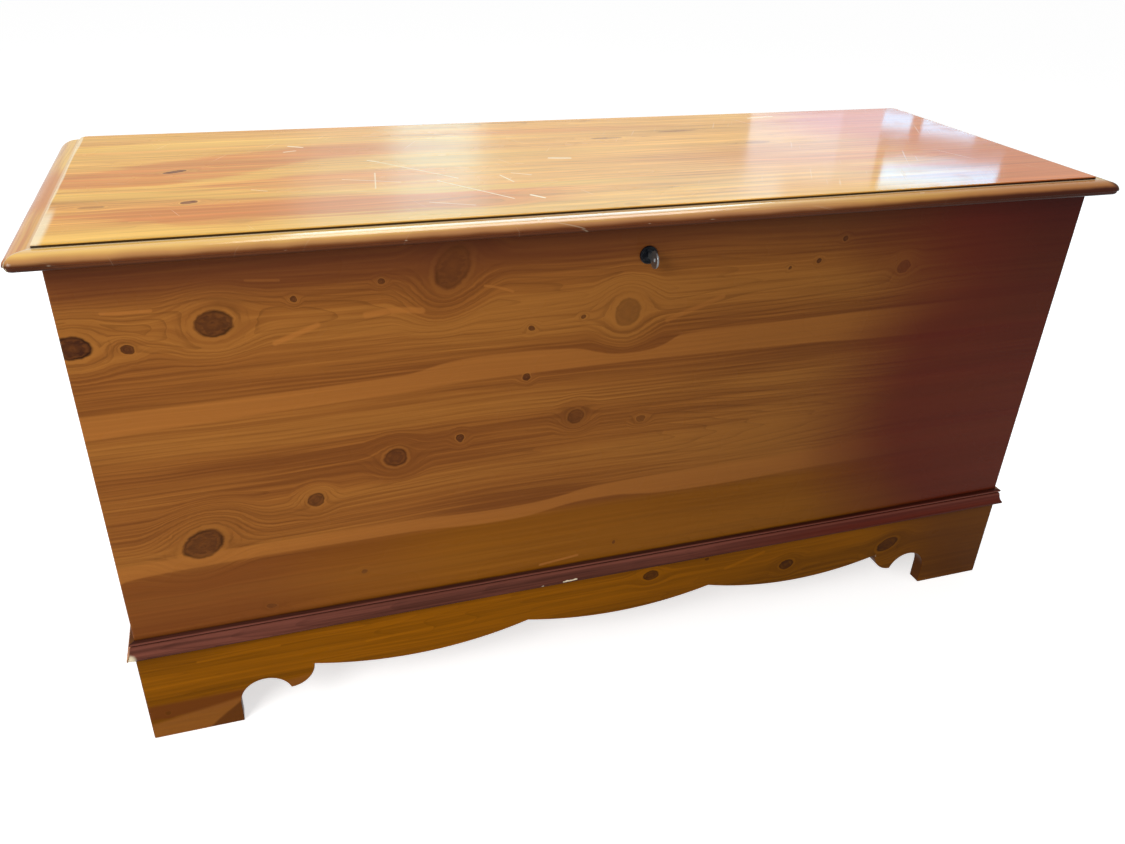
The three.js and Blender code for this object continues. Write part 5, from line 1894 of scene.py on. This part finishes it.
# Each of them: its name, its place along and up, its width and height, its colour, its roll
# in degrees and its share of their brightness
PANES = (
    ("pane_upper_left", 2.275, 1.132, 0.15, 0.07, DAYLIGHT, -8, 0.95),
    ("pane_upper_right", 2.555, 1.174, 0.3, 0.062, DAYLIGHT, -8, 1.0),
    ("pane_lower", 2.56, 1.39, 0.64, 0.1, DAYLIGHT, -5, 1.3),
    ("window_behind", 0.28, 1.17, 0.31, 0.25, HAZE, 0, 1.1),
    ("window_beside", 0.15, 1.34, 0.66, 0.1, HAZE, 0, 0.65),
    ("pale_wall", 1.785, 1.24, 0.43, 0.34, WALL, 0, 0.37),
    ("pale_wall_end", 2.1, 1.24, 0.2, 0.34, WALL, 0, 0.28),
    ("window_above", 0.75, 2.3, 2.0, 1.78, (0.42, 0.8, 1.0), 0, 0.75),
)


def hang(lamp, power):
    data = bpy.data.lights.new(lamp.name, "AREA")
    data.shape = "RECTANGLE"
    data.size = lamp.width
    data.size_y = lamp.height
    data.color = lamp.tint
    data.energy = power
    lamp_object = bpy.data.objects.new(lamp.name, data)
    bpy.context.scene.collection.objects.link(lamp_object)
    aim = Vector(lamp.target) - Vector(lamp.place)
    roll = Matrix.Rotation(math.radians(lamp.roll), 4, "Z")
    turn = aim.to_track_quat("-Z", "Y").to_matrix().to_4x4() @ roll
    lamp_object.matrix_world = Matrix.Translation(lamp.place) @ turn


class CHEST_OT_stage(bpy.types.Operator):
    """Makes the floor, the sky, the lamps and the camera"""

    bl_idname = "chest.stage"
    bl_label = "Stage"

    def execute(self, context):
        scene = context.scene
        stage = scene.chest_stage
        scene.view_settings.view_transform = "Standard"
        world = bpy.data.worlds.new("studio")
        scene.world = world
        world.use_nodes = True
        g = Graph(world.node_tree)
        sky = g.node("ShaderNodeBackground")
        g.feed(sky.inputs["Color"], (1, 1, 1))
        g.feed(sky.inputs["Strength"], seen_directly(g) * (1.0 - stage.fill) + stage.fill)
        out = g.node("ShaderNodeOutputWorld")
        g.tree.links.new(sky.outputs[0], out.inputs[0])
        wide = 14.0
        corners = [(-wide, -wide, 0), (wide, -wide, 0), (wide, wide, 0), (-wide, wide, 0)]
        mesh = bpy.data.meshes.new("floor")
        mesh.from_pydata(corners, [], [(0, 1, 2, 3)])
        mesh.materials.append(floor_finish(tuple(stage.floor)))
        floor = bpy.data.objects.new("floor", mesh)
        scene.collection.objects.link(floor)
        hang(KEY_LAMP, stage.key)
        hang(TOP_LAMP, stage.top)
        for name, x, z, width, height, tint, roll, share in PANES:
            pane = Lamp(name, (x, WALL_Y, z), (x, 0, z), width, height, tint, roll)
            hang(pane, stage.panes * share * math.pi * width * height)
        camera = bpy.data.cameras.new("camera")
        camera.sensor_width = 36
        camera.lens = stage.lens
        camera.clip_end = 60
        camera_object = bpy.data.objects.new("camera", camera)
        scene.collection.objects.link(camera_object)
        camera_object.location = stage.place
        camera_object.rotation_euler = stage.aim
        scene.camera = camera_object
        return {"FINISHED"}


PIECES = (
    CHEST_OT_stage, CHEST_OT_case, CHEST_OT_inside, CHEST_OT_lid, CHEST_OT_trim,
    CHEST_OT_plinth, CHEST_OT_hardware, CHEST_OT_lock,
)


class CHEST_PT_pieces(bpy.types.Panel):
    """The chest's sizes and colours, and a button for each of its pieces."""

    bl_idname = "CHEST_PT_pieces"
    bl_label = "Cedar Blanket Chest"
    bl_space_type = "VIEW_3D"
    bl_region_type = "UI"
    bl_category = "Chest"

    def draw(self, context):
        column = self.layout.column()
        for piece in PIECES:
            column.operator(piece.bl_idname)
        for key, group in GROUPS.items():
            column.separator()
            column.label(text=group.__doc__)
            settings = getattr(context.scene, key)
            for name in group.__annotations__:
                column.prop(settings, name)


CLASSES = (*GROUPS.values(), *PIECES, CHEST_PT_pieces)


def register():
    for cls in CLASSES:
        bpy.utils.register_class(cls)
    for key, group in GROUPS.items():
        setattr(bpy.types.Scene, key, PointerProperty(type=group))


def unregister():
    for key in GROUPS:
        delattr(bpy.types.Scene, key)
    for cls in reversed(CLASSES):
        bpy.utils.unregister_class(cls)


def main():
    register()
    for piece in PIECES:
        group, name = piece.bl_idname.split(".")
        getattr(getattr(bpy.ops, group), name)()


if __name__ == "__main__":
    main()
